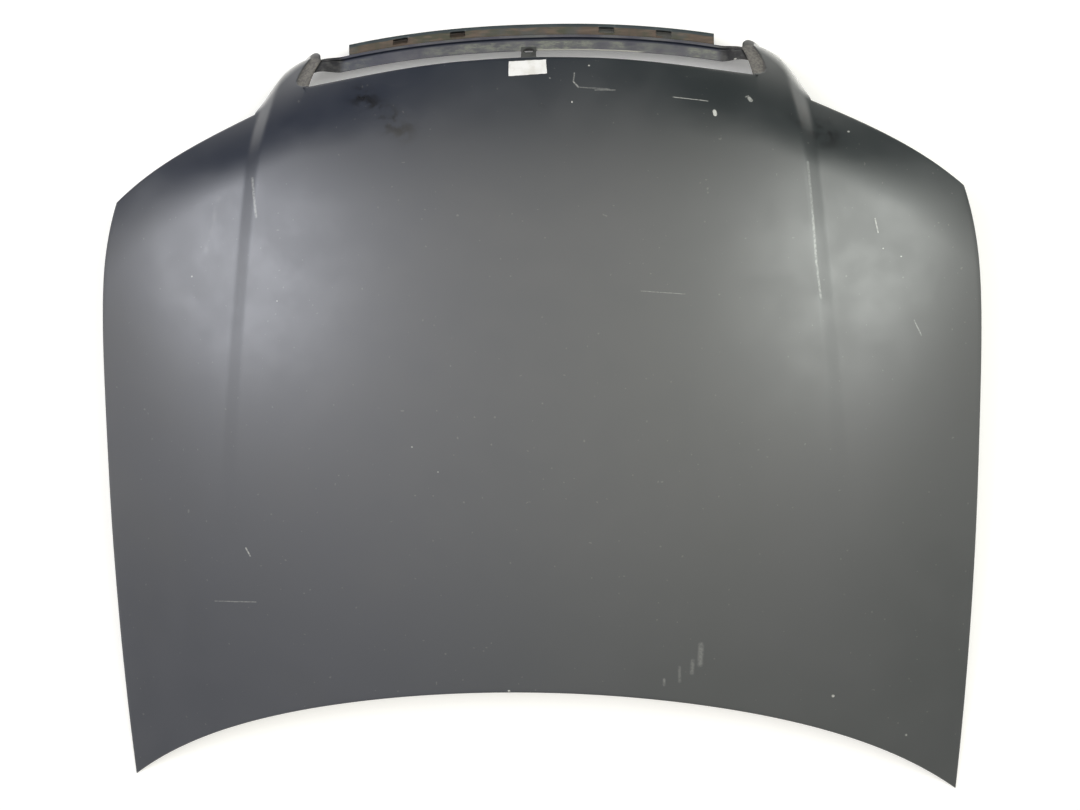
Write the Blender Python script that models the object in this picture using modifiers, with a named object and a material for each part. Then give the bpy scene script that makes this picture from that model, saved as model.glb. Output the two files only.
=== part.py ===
"""Car bonnet: a pressed outer skin hemmed over an inner frame, with a nose bar below the grille opening.

Metres, +Z up. The bonnet lies with its outer side up, on its two rear corners and its nose bar.
X runs across it. While the pieces are made, Y is counted from the rear corners towards the nose.
"""

import math

import bmesh
import bpy
from mathutils import Matrix, Vector

# Sheet thicknesses and clearances
SKIN_SHEET = 0.0008
FRAME_SHEET = 0.0007
BAR_SHEET = 0.0010
STRUT_SHEET = 0.0012
GAP = 0.0003

# Plan outline
HALF_WIDTH = 0.7085
WIDEST_Y = 0.575
FOOT_INSET = 0.0165
FOOT_BEND = 2.2
CORNER_INSET = 0.0285
CORNER_BACK = 0.2055
CORNER_BEND = 4.0
REAR_SWEEP = 0.179
REAR_BOW = 0.7
LEADING_Y = 1.1755
OPENING_HALF = 0.3575
OPENING_SWEEP = 0.0295
OPENING_BEND = 1.65
HORN_FOOT = 0.0875
NOTCH_BACK = 0.0675
CUT_BULGE = 0.0076
CUT_LEAN = 0.4

# Heights of the outer surface
CROWN = 0.136
CROWN_BACK = 0.3655
REAR_DROP = 0.0702
NOSE_DROP = 0.0306
NOSE_BEND = 2.7
SIDE_RISE = 0.082
SIDE_ARCH = 0.006
FLAT_SHARE = 0.45
ROLL_REACH = 0.120
ROLL_AT_NOTCH = 0.022
ROLL_AT_CORNER = 0.008
ROLL_INSET = 0.2575
ROLL_SPAN = 0.300

# Creases that run together towards the nose
CREASE_OFFSET = 0.0515
CREASE_BACK = 0.0405
CREASE_REAR_INSET = 0.1752
CREASE_BAND = 0.029
CREASE_ROUNDING = 0.2
CREASE_DROP = 0.0058
CREASE_REACH = 0.7555
HORN_CREASE_DROP = 0.0045
HORN_CREASE_REACH = 0.1755
HORN_CREASE_RUN = 0.120

# Hem folded round the inner frame's edge
HEM_GAP = 0.0006
HEM_RETURN = 0.007
FLANGE = 0.0135
EDGE_CLEARANCE = 0.0010

# Horns beside the grille opening, from the opening's half width and the leading edge
HORN_TIP = (0.0025, 0.0295)
HORN_TIP_RADIUS = 0.0130
HORN_TIP_REACH = 0.0185
HORN_INNER_BOW = (-0.0015, 0.0045)
HORN_OUTER_LEAD = (0.0735, -0.0600)
HORN_OUTER_BOW = (0.0495, -0.0195)
HORN_ROLL = 0.0100
HORN_ROLL_WIDTH = 0.0200
HORN_ROLL_START = 2.5
HORN_ROWS = 6
HORN_CROWDING = 0.35
REBATE_WIDTH = 0.0215
REBATE_DEPTH = 0.0040
REBATE_STEP = 0.0040
REBATE_TAPER = 0.5

# Inner frame's channels, ribs and holes
WALL_RUN = 0.010
RIB_DEPTH = 0.026
LAND_DEPTH = 0.006
FLOOR_CLEARANCE = 0.006
REAR_CHANNEL = 0.062
FRONT_CHANNEL = 0.062
SIDE_CHANNEL = 0.046
CENTRE_RIB = 0.060
MID_RIB = 0.042
MID_RIB_SHARE = 0.485
CROSS_RIB = 0.050
CROSS_RIB_PLACES = (0.335, 0.610)
HOLE_RIM = 0.016
HOLE_CORNER = 0.030
HOLE_CORNER_SHARE = 0.4

# Mastic pads between the frame's lands and the skin
PAD_RADIUS = 0.0065
PAD_TOP_RADIUS = 0.00585
PAD_INSET = 0.0075
PAD_GAP = 0.0004

# Nose bar, its closing plate and the trim carrier
NOSE_REACH = 0.0400
NOSE_SWEEP = 0.03535
NOSE_CURVE = 2.2
BAR_HEEL = 0.0045
BAR_TOP = 0.0385
BAR_FACE = 0.0175
BAR_FACE_FALL = 0.0020
FACE_REAR_SHARE = 0.35
BAR_SLANT = 0.0010
GROOVE_WIDTH = 0.0040
GROOVE_DEPTH = 0.0050
BAR_EDGE = 0.0045
BAR_FLANGE = 0.0225
BAR_FLANGE_STUB = 0.0015
FLANGE_TOP = 0.0140
FLANGE_FALL = 0.0035
BAR_END_INSET = 0.0455
BAR_END_RISE = 0.036
BAR_END_CELLS = 6
BAR_SEAT = 0.0008
BAR_CELLS = 9
CLOSING_WALL = (0.0022, 0.0185)
CLOSING_FLOOR = 0.0265
CLOSING_LIP = 0.0120
CARRIER_HALF = 0.304
CARRIER_WIDTH = 0.0205
CARRIER_SHEET = 0.0020
CARRIER_TOP = 0.0250
WINDOW_LENGTH = 0.0250
WINDOW_WIDTH = 0.0090
WINDOW_PLACES = (-0.2165, -0.1200, 0.1280, 0.2220)

# Centre strut
STRUT_WIDTH = 0.025
STRUT_SIDE = 0.008
STRUT_TAB = 0.012
STRUT_FOOT = 0.006
STRUT_BEND = 0.12
STRUT_SLOT = (0.014, 0.007)
STRUT_SLOT_CORNER = 0.0031

# Bolted joints for the hinges and the lock
BOLT_RADIUS = 0.0040
NUT_ACROSS_FLATS = 0.0130
NUT_HEIGHT = 0.0065
BOLT_HEAD = 0.0052
PLATE_CORNER = 0.008
HINGE_PLATE = (0.036, 0.046, 0.0025)
HINGE_BOLT_PITCH = 0.028
LOCK_PLATE = (0.060, 0.040, 0.0020)
STRIKER_PLATE = (0.060, 0.032, 0.0030)
LOCK_BOLT_PITCH = 0.046
HOOP_WIRE = 0.0040
HOOP_WIDTH = 0.022
HOOP_DROP = 0.034

# Length of a cutter through one sheet
CUT_DEPTH = 0.012

# Places that follow from the sizes above
FOOT_X = HALF_WIDTH - FOOT_INSET
CORNER_X = HALF_WIDTH - CORNER_INSET
CORNER_Y = LEADING_Y - CORNER_BACK
OPENING_CORNER = (OPENING_HALF, LEADING_Y - OPENING_SWEEP)
NOTCH = (OPENING_HALF + HORN_FOOT, LEADING_Y - NOTCH_BACK)
CROWN_Y = LEADING_Y - CROWN_BACK
NOSE_Y = LEADING_Y + NOSE_REACH
BAR_HALF = OPENING_HALF + BAR_HEEL
BAR_END_START = OPENING_HALF - BAR_END_INSET


def ease(value):
    """Return a smooth ramp from 0 to 1 as value goes from 0 to 1."""
    value = min(max(value, 0.0), 1.0)
    return value * value * (3.0 - 2.0 * value)


def between(start, end, share):
    return start + (end - start) * share


# Outline curves, in plan


def side_edge(y):
    """Half width of the bonnet at y."""
    if y < WIDEST_Y:
        reach = max(WIDEST_Y - y, 0.0) / WIDEST_Y
        return HALF_WIDTH - FOOT_INSET * reach ** FOOT_BEND
    reach = (y - WIDEST_Y) / (CORNER_Y - WIDEST_Y)
    return HALF_WIDTH - CORNER_INSET * reach ** CORNER_BEND


def rear_edge(x):
    """The concave edge at the windscreen."""
    reach = min(abs(x) / FOOT_X, 1.2)
    return REAR_SWEEP * (1.0 - REAR_BOW * reach ** 2 - (1.0 - REAR_BOW) * reach ** 5)


def front_edge(x):
    """Leading edge over the grille, then the brow of the horn, then the headlight cut line."""
    x = abs(x)
    notch_x, notch_y = NOTCH
    if x <= OPENING_HALF:
        return LEADING_Y - OPENING_SWEEP * (x / OPENING_HALF) ** OPENING_BEND
    if x <= notch_x:
        return between(OPENING_CORNER[1], notch_y, (x - OPENING_HALF) / HORN_FOOT)
    share = (x - notch_x) / (CORNER_X - notch_x)
    bulge = CUT_BULGE * (1.0 + CUT_LEAN * share)
    return between(notch_y, CORNER_Y, share) + bulge * 4.0 * share * (1.0 - share)


def crease_line(y):
    """Half distance between the creases at y."""
    share = y / (LEADING_Y - CREASE_BACK)
    return between(FOOT_X - CREASE_REAR_INSET, OPENING_HALF + CREASE_OFFSET, share)


def nose_line(x):
    """Rear edge of the nose bar."""
    return NOSE_Y - NOSE_SWEEP * (abs(x) / OPENING_HALF) ** NOSE_CURVE


# Height of the outer surface


def centre_height(y):
    if y < CROWN_Y:
        return CROWN - REAR_DROP * ((CROWN_Y - y) / CROWN_Y) ** 2
    return CROWN - NOSE_DROP * ((y - CROWN_Y) / CROWN_BACK) ** NOSE_BEND


def side_height(y):
    share = y / CORNER_Y
    return hem_thickness() + SIDE_RISE * share + SIDE_ARCH * 4.0 * share * (1.0 - share)


def skin_height(x, y):
    x = abs(x)
    reach = x / side_edge(y)
    fall = FLAT_SHARE * reach ** 2 + (1.0 - FLAT_SHARE) * reach ** 4
    height = between(centre_height(y), side_height(y), fall)
    roll = ROLL_AT_NOTCH * ease((x - OPENING_HALF + ROLL_INSET) / ROLL_SPAN)
    roll -= (ROLL_AT_NOTCH - ROLL_AT_CORNER) * ease((x - NOTCH[0]) / (CORNER_X - NOTCH[0]))
    before_edge = front_edge(x) - y
    if before_edge < ROLL_REACH:
        height -= roll * (1.0 - before_edge / ROLL_REACH) ** 2
    return height - crease_drop(y) * flank((x - crease_line(y)) / CREASE_BAND)


def crease_drop(y):
    """Depth of the crease's step, which grows towards the nose and again beside the horn."""
    drop = CREASE_DROP * max(y - LEADING_Y + CREASE_REACH, 0.0) / CREASE_REACH
    return drop + HORN_CREASE_DROP * ease((y - LEADING_Y + HORN_CREASE_REACH) / HORN_CREASE_RUN)


def flank(share):
    """A straight ramp from 0 to 1 with a rounding at each end."""
    share = min(max(share, 0.0), 1.0)
    if share > 0.5:
        return 1.0 - flank(1.0 - share)
    steepness = 1.0 / (1.0 - CREASE_ROUNDING)
    if share < CREASE_ROUNDING:
        return steepness * share ** 2 / (2.0 * CREASE_ROUNDING)
    return steepness * (share - CREASE_ROUNDING / 2)


def skin_normal(x, y):
    span = 0.004
    slope_x = (skin_height(x + span, y) - skin_height(x - span, y)) / (2.0 * span)
    slope_y = (skin_height(x, y + span) - skin_height(x, y - span)) / (2.0 * span)
    return Vector((-slope_x, -slope_y, 1.0)).normalized()


def hem_thickness():
    """Skin, frame flange and folded return, with a gap each side of the flange."""
    return 2.0 * SKIN_SHEET + FRAME_SHEET + 2.0 * HEM_GAP


# Grid lines that the skin and the frame share


def halfway(first, second):
    return tuple((one + other) / 2.0 for one, other in zip(first, second))


def make_columns():
    """Each column is (share of the crease line, share of the side edge, offset), from the centre out."""
    opening = OPENING_CORNER[0] - crease_line(OPENING_CORNER[1])
    notch = NOTCH[0] - crease_line(NOTCH[1])
    side_foot = -(FLANGE + WALL_RUN)
    columns = {
        "centre": (0.0, 0.0, 0.0),
        "centre_rib_foot": (0.0, 0.0, CENTRE_RIB / 2),
        "bay_1_inner": (0.0, 0.0, CENTRE_RIB / 2 + WALL_RUN),
        "bay_1_middle": None,
        "bay_1_outer": (MID_RIB_SHARE, 0.0, -MID_RIB / 2 - WALL_RUN),
        "mid_rib_inner": (MID_RIB_SHARE, 0.0, -MID_RIB / 2),
        "mid_rib_outer": (MID_RIB_SHARE, 0.0, MID_RIB / 2),
        "bay_2_inner": (MID_RIB_SHARE, 0.0, MID_RIB / 2 + WALL_RUN),
        "bay_2_middle": None,
        "bay_2_outer": (1.0, 0.0, opening),
        "crease_rib_inner": (1.0, 0.0, opening + REBATE_WIDTH / 2),
        "rebate_edge": (1.0, 0.0, opening + REBATE_WIDTH),
        "rebate_step": (1.0, 0.0, opening + REBATE_WIDTH + REBATE_STEP),
        "crease": (1.0, 0.0, 0.0),
        "crease_foot": (1.0, 0.0, notch - WALL_RUN),
        "bay_3_inner": (1.0, 0.0, notch),
        "bay_3_middle": None,
        "bay_3_outer": (0.0, 1.0, side_foot - SIDE_CHANNEL - WALL_RUN),
        "side_channel_inner": (0.0, 1.0, side_foot - SIDE_CHANNEL),
        "side_channel_outer": (0.0, 1.0, side_foot),
        "side_flange": (0.0, 1.0, -FLANGE),
        "side": (0.0, 1.0, 0.0),
    }
    for bay in BAYS_ACROSS:
        columns[f"{bay}_middle"] = halfway(columns[f"{bay}_inner"], columns[f"{bay}_outer"])
    return columns


def make_rows():
    """Each row is (share of the way from the rear edge to the front edge, offset), from the rear."""
    foot = FLANGE + WALL_RUN
    first, second = CROSS_RIB_PLACES
    rows = {
        "rear": (0.0, 0.0),
        "rear_flange": (0.0, FLANGE),
        "rear_channel_rear": (0.0, foot),
        "rear_channel_front": (0.0, foot + REAR_CHANNEL),
        "bay_a_rear": (0.0, foot + REAR_CHANNEL + WALL_RUN),
        "bay_a_middle": None,
        "bay_a_front": (first, -CROSS_RIB / 2 - WALL_RUN),
        "cross_rib_1_rear": (first, -CROSS_RIB / 2),
        "cross_rib_1_front": (first, CROSS_RIB / 2),
        "bay_b_rear": (first, CROSS_RIB / 2 + WALL_RUN),
        "bay_b_middle": None,
        "bay_b_front": (second, -CROSS_RIB / 2 - WALL_RUN),
        "cross_rib_2_rear": (second, -CROSS_RIB / 2),
        "cross_rib_2_front": (second, CROSS_RIB / 2),
        "bay_c_rear": (second, CROSS_RIB / 2 + WALL_RUN),
        "bay_c_middle": None,
        "bay_c_front": (1.0, -foot - FRONT_CHANNEL - WALL_RUN),
        "front_channel_rear": (1.0, -foot - FRONT_CHANNEL),
        "front_channel_middle": (1.0, -foot - FRONT_CHANNEL / 2),
        "front_channel_front": (1.0, -foot),
        "front_flange": (1.0, -FLANGE),
        "front": (1.0, 0.0),
    }
    for bay in BAYS_ALONG:
        rows[f"{bay}_middle"] = halfway(rows[f"{bay}_rear"], rows[f"{bay}_front"])
    return rows


BAYS_ACROSS = ("bay_1", "bay_2", "bay_3")
BAYS_ALONG = ("bay_a", "bay_b", "bay_c")
COLUMNS = make_columns()
ROWS = make_rows()
SKIN_SKIPS = {"centre_rib_foot", "mid_rib_inner", "mid_rib_outer", "rear_channel_rear",
              "cross_rib_1_rear", "cross_rib_1_front", "cross_rib_2_rear", "cross_rib_2_front"}
FRAME_SKIPS = {"rebate_edge", "rebate_step"}


def crossing(column, row):
    """Plan point where a column meets a row, found by stepping between the two."""
    crease_share, side_share, across = column
    front_share, along = row
    y = between(REAR_SWEEP, LEADING_Y, front_share)
    for _ in range(40):
        x = crease_share * crease_line(y) + side_share * side_edge(y) + across
        y = between(rear_edge(x), front_edge(x), front_share) + along
    return x, y


# Making objects


def new_collection(name):
    collection = bpy.data.collections.new(name)
    bpy.context.scene.collection.children.link(collection)
    return collection


def new_material(name, color, roughness, metallic=0.0):
    material = bpy.data.materials.new(name)
    material.use_nodes = True
    shader = material.node_tree.nodes["Principled BSDF"]
    shader.inputs["Base Color"].default_value = (*color, 1.0)
    shader.inputs["Roughness"].default_value = roughness
    shader.inputs["Metallic"].default_value = metallic
    return material


def new_object(name, mesh, collection, material=None):
    obj = bpy.data.objects.new(name, mesh)
    collection.objects.link(obj)
    if material:
        mesh.materials.clear()
        mesh.materials.append(material)
    return obj


def mesh_from(bm, name, smooth_angle=30.0):
    mesh = bpy.data.meshes.new(name)
    bm.to_mesh(mesh)
    bm.free()
    mesh.shade_smooth()
    mesh.set_sharp_from_angle(angle=math.radians(smooth_angle))
    return mesh


def mesh_from_object(obj):
    """Return an object's evaluated mesh, welded, and remove the object."""
    bpy.context.view_layer.update()
    mesh = bpy.data.meshes.new_from_object(obj.evaluated_get(bpy.context.evaluated_depsgraph_get()))
    bm = bmesh.new()
    bm.from_mesh(mesh)
    bmesh.ops.remove_doubles(bm, verts=bm.verts, dist=0.00001)
    bm.to_mesh(mesh)
    bm.free()
    bpy.data.objects.remove(obj)
    return mesh


def make_cutter(obj, cutters):
    for collection in obj.users_collection:
        collection.objects.unlink(obj)
    cutters.objects.link(obj)
    obj.hide_render = True
    obj.display_type = "WIRE"
    return obj


def cut(obj, cutter):
    modifier = obj.modifiers.new("Cut " + cutter.name, "BOOLEAN")
    modifier.operation = "DIFFERENCE"
    modifier.object = cutter


def mirror_and_thicken(obj, sheet):
    mirror = obj.modifiers.new("Other half", "MIRROR")
    mirror.merge_threshold = 0.0001
    thicken(obj, sheet)


def thicken(obj, sheet):
    solidify = obj.modifiers.new("Sheet", "SOLIDIFY")
    solidify.thickness = sheet
    solidify.offset = -1.0
    solidify.use_even_offset = True


def flat_solid(name, outlines, thickness, collection, material=None):
    """A plate standing on z = 0: the first outline is its edge and the others are holes."""
    curve = bpy.data.curves.new(name, "CURVE")
    curve.dimensions = "2D"
    curve.fill_mode = "BOTH"
    curve.extrude = thickness / 2
    for outline in outlines:
        spline = curve.splines.new("POLY")
        spline.points.add(len(outline) - 1)
        for point, (x, y) in zip(spline.points, outline):
            point.co = (x, y, 0.0, 1.0)
        spline.use_cyclic_u = True
    source = bpy.data.objects.new(name + "_outline", curve)
    collection.objects.link(source)
    mesh = mesh_from_object(source)
    bpy.data.curves.remove(curve)
    mesh.transform(Matrix.Translation((0.0, 0.0, thickness / 2)))
    return new_object(name, mesh, collection, material)


def circle_outline(radius, sides, centre=(0.0, 0.0), turn=0.0):
    angles = (turn + 2.0 * math.pi * step / sides for step in range(sides))
    return [(centre[0] + radius * math.cos(a), centre[1] + radius * math.sin(a)) for a in angles]


def rounded_outline(corners, radius, steps=3, reach=math.inf):
    """Round the corners of a polygon given counter-clockwise, each over at most reach of its sides."""
    outline = []
    count = len(corners)
    for index in range(count):
        corner = Vector(corners[index])
        back = (Vector(corners[index - 1]) - corner).normalized()
        ahead = (Vector(corners[(index + 1) % count]) - corner).normalized()
        half_angle = back.angle(ahead) / 2.0
        run = min(radius / math.tan(half_angle), reach)
        centre = corner + (back + ahead).normalized() * run / math.cos(half_angle)
        first = corner + back * run - centre
        last = corner + ahead * run - centre
        sweep = first.angle_signed(last)
        for step in range(steps + 1):
            arm = first.copy()
            arm.rotate(Matrix.Rotation(-sweep * step / steps, 2))
            outline.append(tuple(centre + arm))
    return outline


def rectangle(width, length):
    x, y = width / 2, length / 2
    return [(-x, -y), (x, -y), (x, y), (-x, y)]


def mapped_grid(bm, columns, rows, place):
    """Add an open grid and put each of its vertices where place(column, row) says."""
    cells_across, cells_along = len(columns) - 1, len(rows) - 1
    made = bmesh.ops.create_grid(bm, x_segments=cells_across, y_segments=cells_along, size=1.0)
    for vert in made["verts"]:
        across = round((vert.co.x + 1.0) / 2.0 * cells_across)
        along = round((vert.co.y + 1.0) / 2.0 * cells_along)
        vert.co = place(columns[across], rows[along])


def open_edges(bm):
    """Edges on the outline, without those on the plane where the halves meet."""
    edges = []
    for edge in bm.edges:
        if edge.is_boundary and max(abs(vert.co.x) for vert in edge.verts) > 0.0001:
            edges.append(edge)
    return edges


def outward_directions(edges):
    """Plan direction away from the sheet at each vertex of its outline, mitred at corners."""
    normals = {}
    for edge in edges:
        start, end = (vert.co for vert in edge.verts)
        normal = Vector((end.y - start.y, start.x - end.x, 0.0)).normalized()
        away = (start + end) / 2 - edge.link_faces[0].calc_center_median()
        if normal.dot(away) < 0.0:
            normal.negate()
        for vert in edge.verts:
            normals.setdefault(vert, []).append(normal)
    directions = {}
    for vert, found in normals.items():
        if len(found) == 1:
            found.append(Vector((-found[0].x, found[0].y, 0.0)))
        directions[vert] = (found[0] + found[1]) / (1.0 + found[0].dot(found[1]))
    return directions


def fold_hem(bm):
    """Fold the outline over in a half round and run it back under the sheet."""
    edges = open_edges(bm)
    outward = outward_directions(edges)
    base = {vert: vert.co.copy() for vert in outward}
    radius = hem_thickness() / 2
    for angle in (60, 120, 180, None):
        made = bmesh.ops.extrude_edge_only(bm, edges=edges)["geom"]
        edges = [item for item in made if isinstance(item, bmesh.types.BMEdge)]
        fresh = {item for item in made if isinstance(item, bmesh.types.BMVert)}
        for vert in fresh:
            old = next(e.other_vert(vert) for e in vert.link_edges if e.other_vert(vert) not in fresh)
            start, direction = base[old], outward[old]
            if angle is None:
                vert.co = start - direction * HEM_RETURN
                vert.co.z += skin_height(vert.co.x, vert.co.y) - skin_height(start.x, start.y)
                vert.co.z -= 2.0 * radius
            else:
                vert.co = start + direction * radius * math.sin(math.radians(angle))
                vert.co.z -= radius * (1.0 - math.cos(math.radians(angle)))
            base[vert], outward[vert] = start, direction
        edges = [edge for edge in edges if all(vert in fresh for vert in edge.verts)]


# Outer skin


def bow(points, share):
    """Point on a smooth curve from the first point to the last that bends to the others."""
    while len(points) > 1:
        points = [[between(a, b, share) for a, b in zip(*pair)] for pair in zip(points, points[1:])]
    return points[0]


HORN_COLUMNS = [name for name in COLUMNS
                if list(COLUMNS).index("bay_2_outer") <= list(COLUMNS).index(name)
                <= list(COLUMNS).index("bay_3_inner")]
REBATE_COLUMNS = HORN_COLUMNS[:3]


def from_opening(offsets):
    """Plan point at an offset from the opening's half width and the leading edge."""
    return OPENING_HALF + offsets[0], LEADING_Y + offsets[1]


def horn_point(column, row):
    """Row 0 is the brow, the rows up to HORN_ROWS climb the horn, and the last goes round its tip."""
    place = HORN_COLUMNS.index(column)
    last = len(HORN_COLUMNS) - 1
    tip_x, tip_y = from_opening(HORN_TIP)
    if row > HORN_ROWS:
        angle = math.radians(between(150.0, 30.0, place / last))
        x = tip_x + HORN_TIP_RADIUS * math.cos(angle)
        y = tip_y + HORN_TIP_REACH * math.sin(angle)
        return Vector((x, y, skin_height(x, y) - HORN_ROLL * ease(place / last)))
    if row == 0:
        x, y = crossing(COLUMNS[column], ROWS["front"])
        return Vector((x, y, skin_height(x, y)))
    share = row / HORN_ROWS
    share = between(share, share ** 2, HORN_CROWDING)
    inner = bow((OPENING_CORNER, from_opening(HORN_INNER_BOW), (tip_x - HORN_TIP_RADIUS, tip_y)), share)
    outer = bow((NOTCH, from_opening(HORN_OUTER_LEAD), from_opening(HORN_OUTER_BOW),
                 (tip_x + HORN_TIP_RADIUS, tip_y)), share)
    width = math.dist(inner, outer)
    rebate = REBATE_WIDTH * (1.0 - REBATE_TAPER * share ** 4)
    marks = [0.0, rebate / 2, rebate, rebate + REBATE_STEP]
    rest = last - 3
    marks += [between(marks[3], width, step / rest) for step in range(1, rest + 1)]
    x, y = (between(a, b, marks[place] / width) for a, b in zip(inner, outer))
    sunk = REBATE_DEPTH if column in REBATE_COLUMNS else 0.0
    roll_width = min(HORN_ROLL_WIDTH, width - marks[3])
    to_edge = min((width - marks[place]) / roll_width, 1.0)
    sunk += HORN_ROLL * (1.0 - to_edge) ** 2 * ease(HORN_ROLL_START * row / HORN_ROWS)
    return Vector((x, y, skin_height(x, y) - sunk))


def skin_point(column, row):
    x, y = crossing(COLUMNS[column], ROWS[row])
    return Vector((x, y, skin_height(x, y)))


def build_skin(collection, material):
    bm = bmesh.new()
    columns = [name for name in COLUMNS if name not in SKIN_SKIPS]
    rows = [name for name in ROWS if name not in SKIN_SKIPS]
    mapped_grid(bm, columns, rows, skin_point)
    mapped_grid(bm, HORN_COLUMNS, list(range(HORN_ROWS + 2)), horn_point)
    bmesh.ops.remove_doubles(bm, verts=bm.verts, dist=0.00002)
    bmesh.ops.recalc_face_normals(bm, faces=bm.faces)
    fold_hem(bm)
    skin = new_object("outer_skin", mesh_from(bm, "outer_skin"), collection, material)
    mirror_and_thicken(skin, SKIN_SHEET)
    return skin


# Inner frame


def pad_plane(x, y):
    """Flat pad pressed into a channel: a point on its upper face and its normal."""
    normal = skin_normal(x, y)
    return Vector((x, y, skin_height(x, y) - RIB_DEPTH)), normal


def height_on(plane, x, y):
    point, normal = plane
    return point.z - (normal.x * (x - point.x) + normal.y * (y - point.y)) / normal.z


def hinge_plane():
    across = halfway(COLUMNS["bay_3_middle"], COLUMNS["side_channel_inner"])
    along = halfway(ROWS["rear_channel_rear"], ROWS["rear_channel_front"])
    return pad_plane(*crossing(across, along))


def lock_plane():
    return pad_plane(*crossing(COLUMNS["centre"], ROWS["front_channel_middle"]))


HINGE_PAD_COLUMNS = ("bay_3_middle", "bay_3_outer", "side_channel_inner")
HINGE_PAD_ROWS = ("rear_channel_rear", "rear_channel_front")
LOCK_PAD_COLUMNS = ("centre", "centre_rib_foot", "bay_1_inner")
LOCK_PAD_ROWS = ("front_channel_rear", "front_channel_middle", "front_channel_front")


def frame_point(column, row):
    x, y = crossing(COLUMNS[column], ROWS[row])
    surface = skin_height(x, y)
    flange_depth = SKIN_SHEET + HEM_GAP
    in_bay = column.startswith("bay") and row.startswith("bay")
    at_edge = column in ("side", "side_flange") or row in ("rear", "rear_flange", "front", "front_flange")
    if column in HINGE_PAD_COLUMNS and row in HINGE_PAD_ROWS:
        return Vector((x, y, height_on(hinge_plane(), x, y)))
    if column in LOCK_PAD_COLUMNS and row in LOCK_PAD_ROWS:
        return Vector((x, y, height_on(lock_plane(), x, y)))
    if at_edge:
        depth = flange_depth
    elif in_bay:
        depth = LAND_DEPTH
    else:
        depth = RIB_DEPTH
    depth = max(min(depth, surface - FLOOR_CLEARANCE), flange_depth)
    return Vector((x, y, surface - depth))


def bay_outline(bay_across, bay_along):
    def corner(side, end):
        across = COLUMNS[f"{bay_across}_{side}"]
        along = ROWS[f"{bay_along}_{end}"]
        inward = HOLE_RIM if side == "inner" else -HOLE_RIM
        ahead = HOLE_RIM if end == "rear" else -HOLE_RIM
        return crossing((*across[:2], across[2] + inward), (along[0], along[1] + ahead))
    corners = [corner("inner", "rear"), corner("outer", "rear"),
               corner("outer", "front"), corner("inner", "front")]
    narrowest = min(math.dist(corners[index - 1], corners[index]) for index in range(4))
    return rounded_outline(corners, HOLE_CORNER, reach=narrowest * HOLE_CORNER_SHARE)


def build_hole_cutter(cutters):
    """One tall prism for each hole, on both sides of the centre."""
    prisms = bmesh.new()
    for bay_across in BAYS_ACROSS:
        for bay_along in BAYS_ALONG:
            outline = bay_outline(bay_across, bay_along)
            prism = flat_solid("hole", [outline], CROWN, cutters)
            for side in (1, -1):
                mesh = prism.data.copy()
                mesh.transform(Matrix.Diagonal((side, 1.0, 1.0, 1.0)))
                if side < 0:
                    mesh.flip_normals()
                prisms.from_mesh(mesh)
            bpy.data.objects.remove(prism)
    return make_cutter(new_object("frame_holes", mesh_from(prisms, "frame_holes"), cutters), cutters)


def build_frame(collection, cutters, material):
    bm = bmesh.new()
    columns = [name for name in COLUMNS if name not in FRAME_SKIPS]
    mapped_grid(bm, columns, list(ROWS), frame_point)
    for vert, direction in outward_directions(open_edges(bm)).items():
        start = vert.co.copy()
        vert.co = start - direction * EDGE_CLEARANCE
        vert.co.z += skin_height(vert.co.x, vert.co.y) - skin_height(start.x, start.y)
    bmesh.ops.recalc_face_normals(bm, faces=bm.faces)
    frame = new_object("inner_frame", mesh_from(bm, "inner_frame"), collection, material)
    mirror_and_thicken(frame, FRAME_SHEET)
    cut(frame, build_hole_cutter(cutters))
    cut(frame, build_bore_cutter(cutters))
    return frame


# Bolted joints


def seat(obj, plane, across, along, rise, side=1):
    """Stand an object on a pad's plane, shifted along the pad and raised along its normal."""
    point, normal = plane
    level = Vector((0.0, 0.0, 1.0)).rotation_difference(normal).to_matrix()
    place = point + level @ Vector((across, along, rise))
    turn = level
    if side < 0:
        place.x = -place.x
        mirrored = Vector((-normal.x, normal.y, normal.z))
        turn = Vector((0.0, 0.0, 1.0)).rotation_difference(mirrored).to_matrix()
    obj.matrix_world = Matrix.Translation(place) @ turn.to_4x4()
    return obj


def hinge_bolts():
    return [(0.0, shift) for shift in (-HINGE_BOLT_PITCH / 2, HINGE_BOLT_PITCH / 2)]


def lock_bolts():
    return [(shift, 0.0) for shift in (-LOCK_BOLT_PITCH / 2, LOCK_BOLT_PITCH / 2)]


def bore_outline(centre):
    return circle_outline(BOLT_RADIUS + GAP, 12, centre)


def build_bore_cutter(cutters):
    """Short cylinders through the frame at each bolt."""
    places = [(hinge_plane(), spot, side) for spot in hinge_bolts() for side in (1, -1)]
    places += [(lock_plane(), spot, 1) for spot in lock_bolts()]
    bores = bmesh.new()
    for plane, (across, along), side in places:
        bore = flat_solid("bore", [bore_outline((0.0, 0.0))], CUT_DEPTH, cutters)
        seat(bore, plane, across, along, -CUT_DEPTH / 2, side)
        bore.data.transform(bore.matrix_world)
        bores.from_mesh(bore.data)
        bpy.data.objects.remove(bore)
    return make_cutter(new_object("frame_bores", mesh_from(bores, "frame_bores"), cutters), cutters)


def plate(name, size, spots, collection, material):
    width, length, thickness = size
    outlines = [rounded_outline(rectangle(width, length), PLATE_CORNER, 4)]
    outlines += [bore_outline(spot) for spot in spots]
    return flat_solid(name, outlines, thickness, collection, material)


def nut(name, collection, material):
    hexagon = circle_outline(NUT_ACROSS_FLATS / math.sqrt(3.0), 6)
    return flat_solid(name, [hexagon, bore_outline((0.0, 0.0))], NUT_HEIGHT, collection, material)


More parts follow.
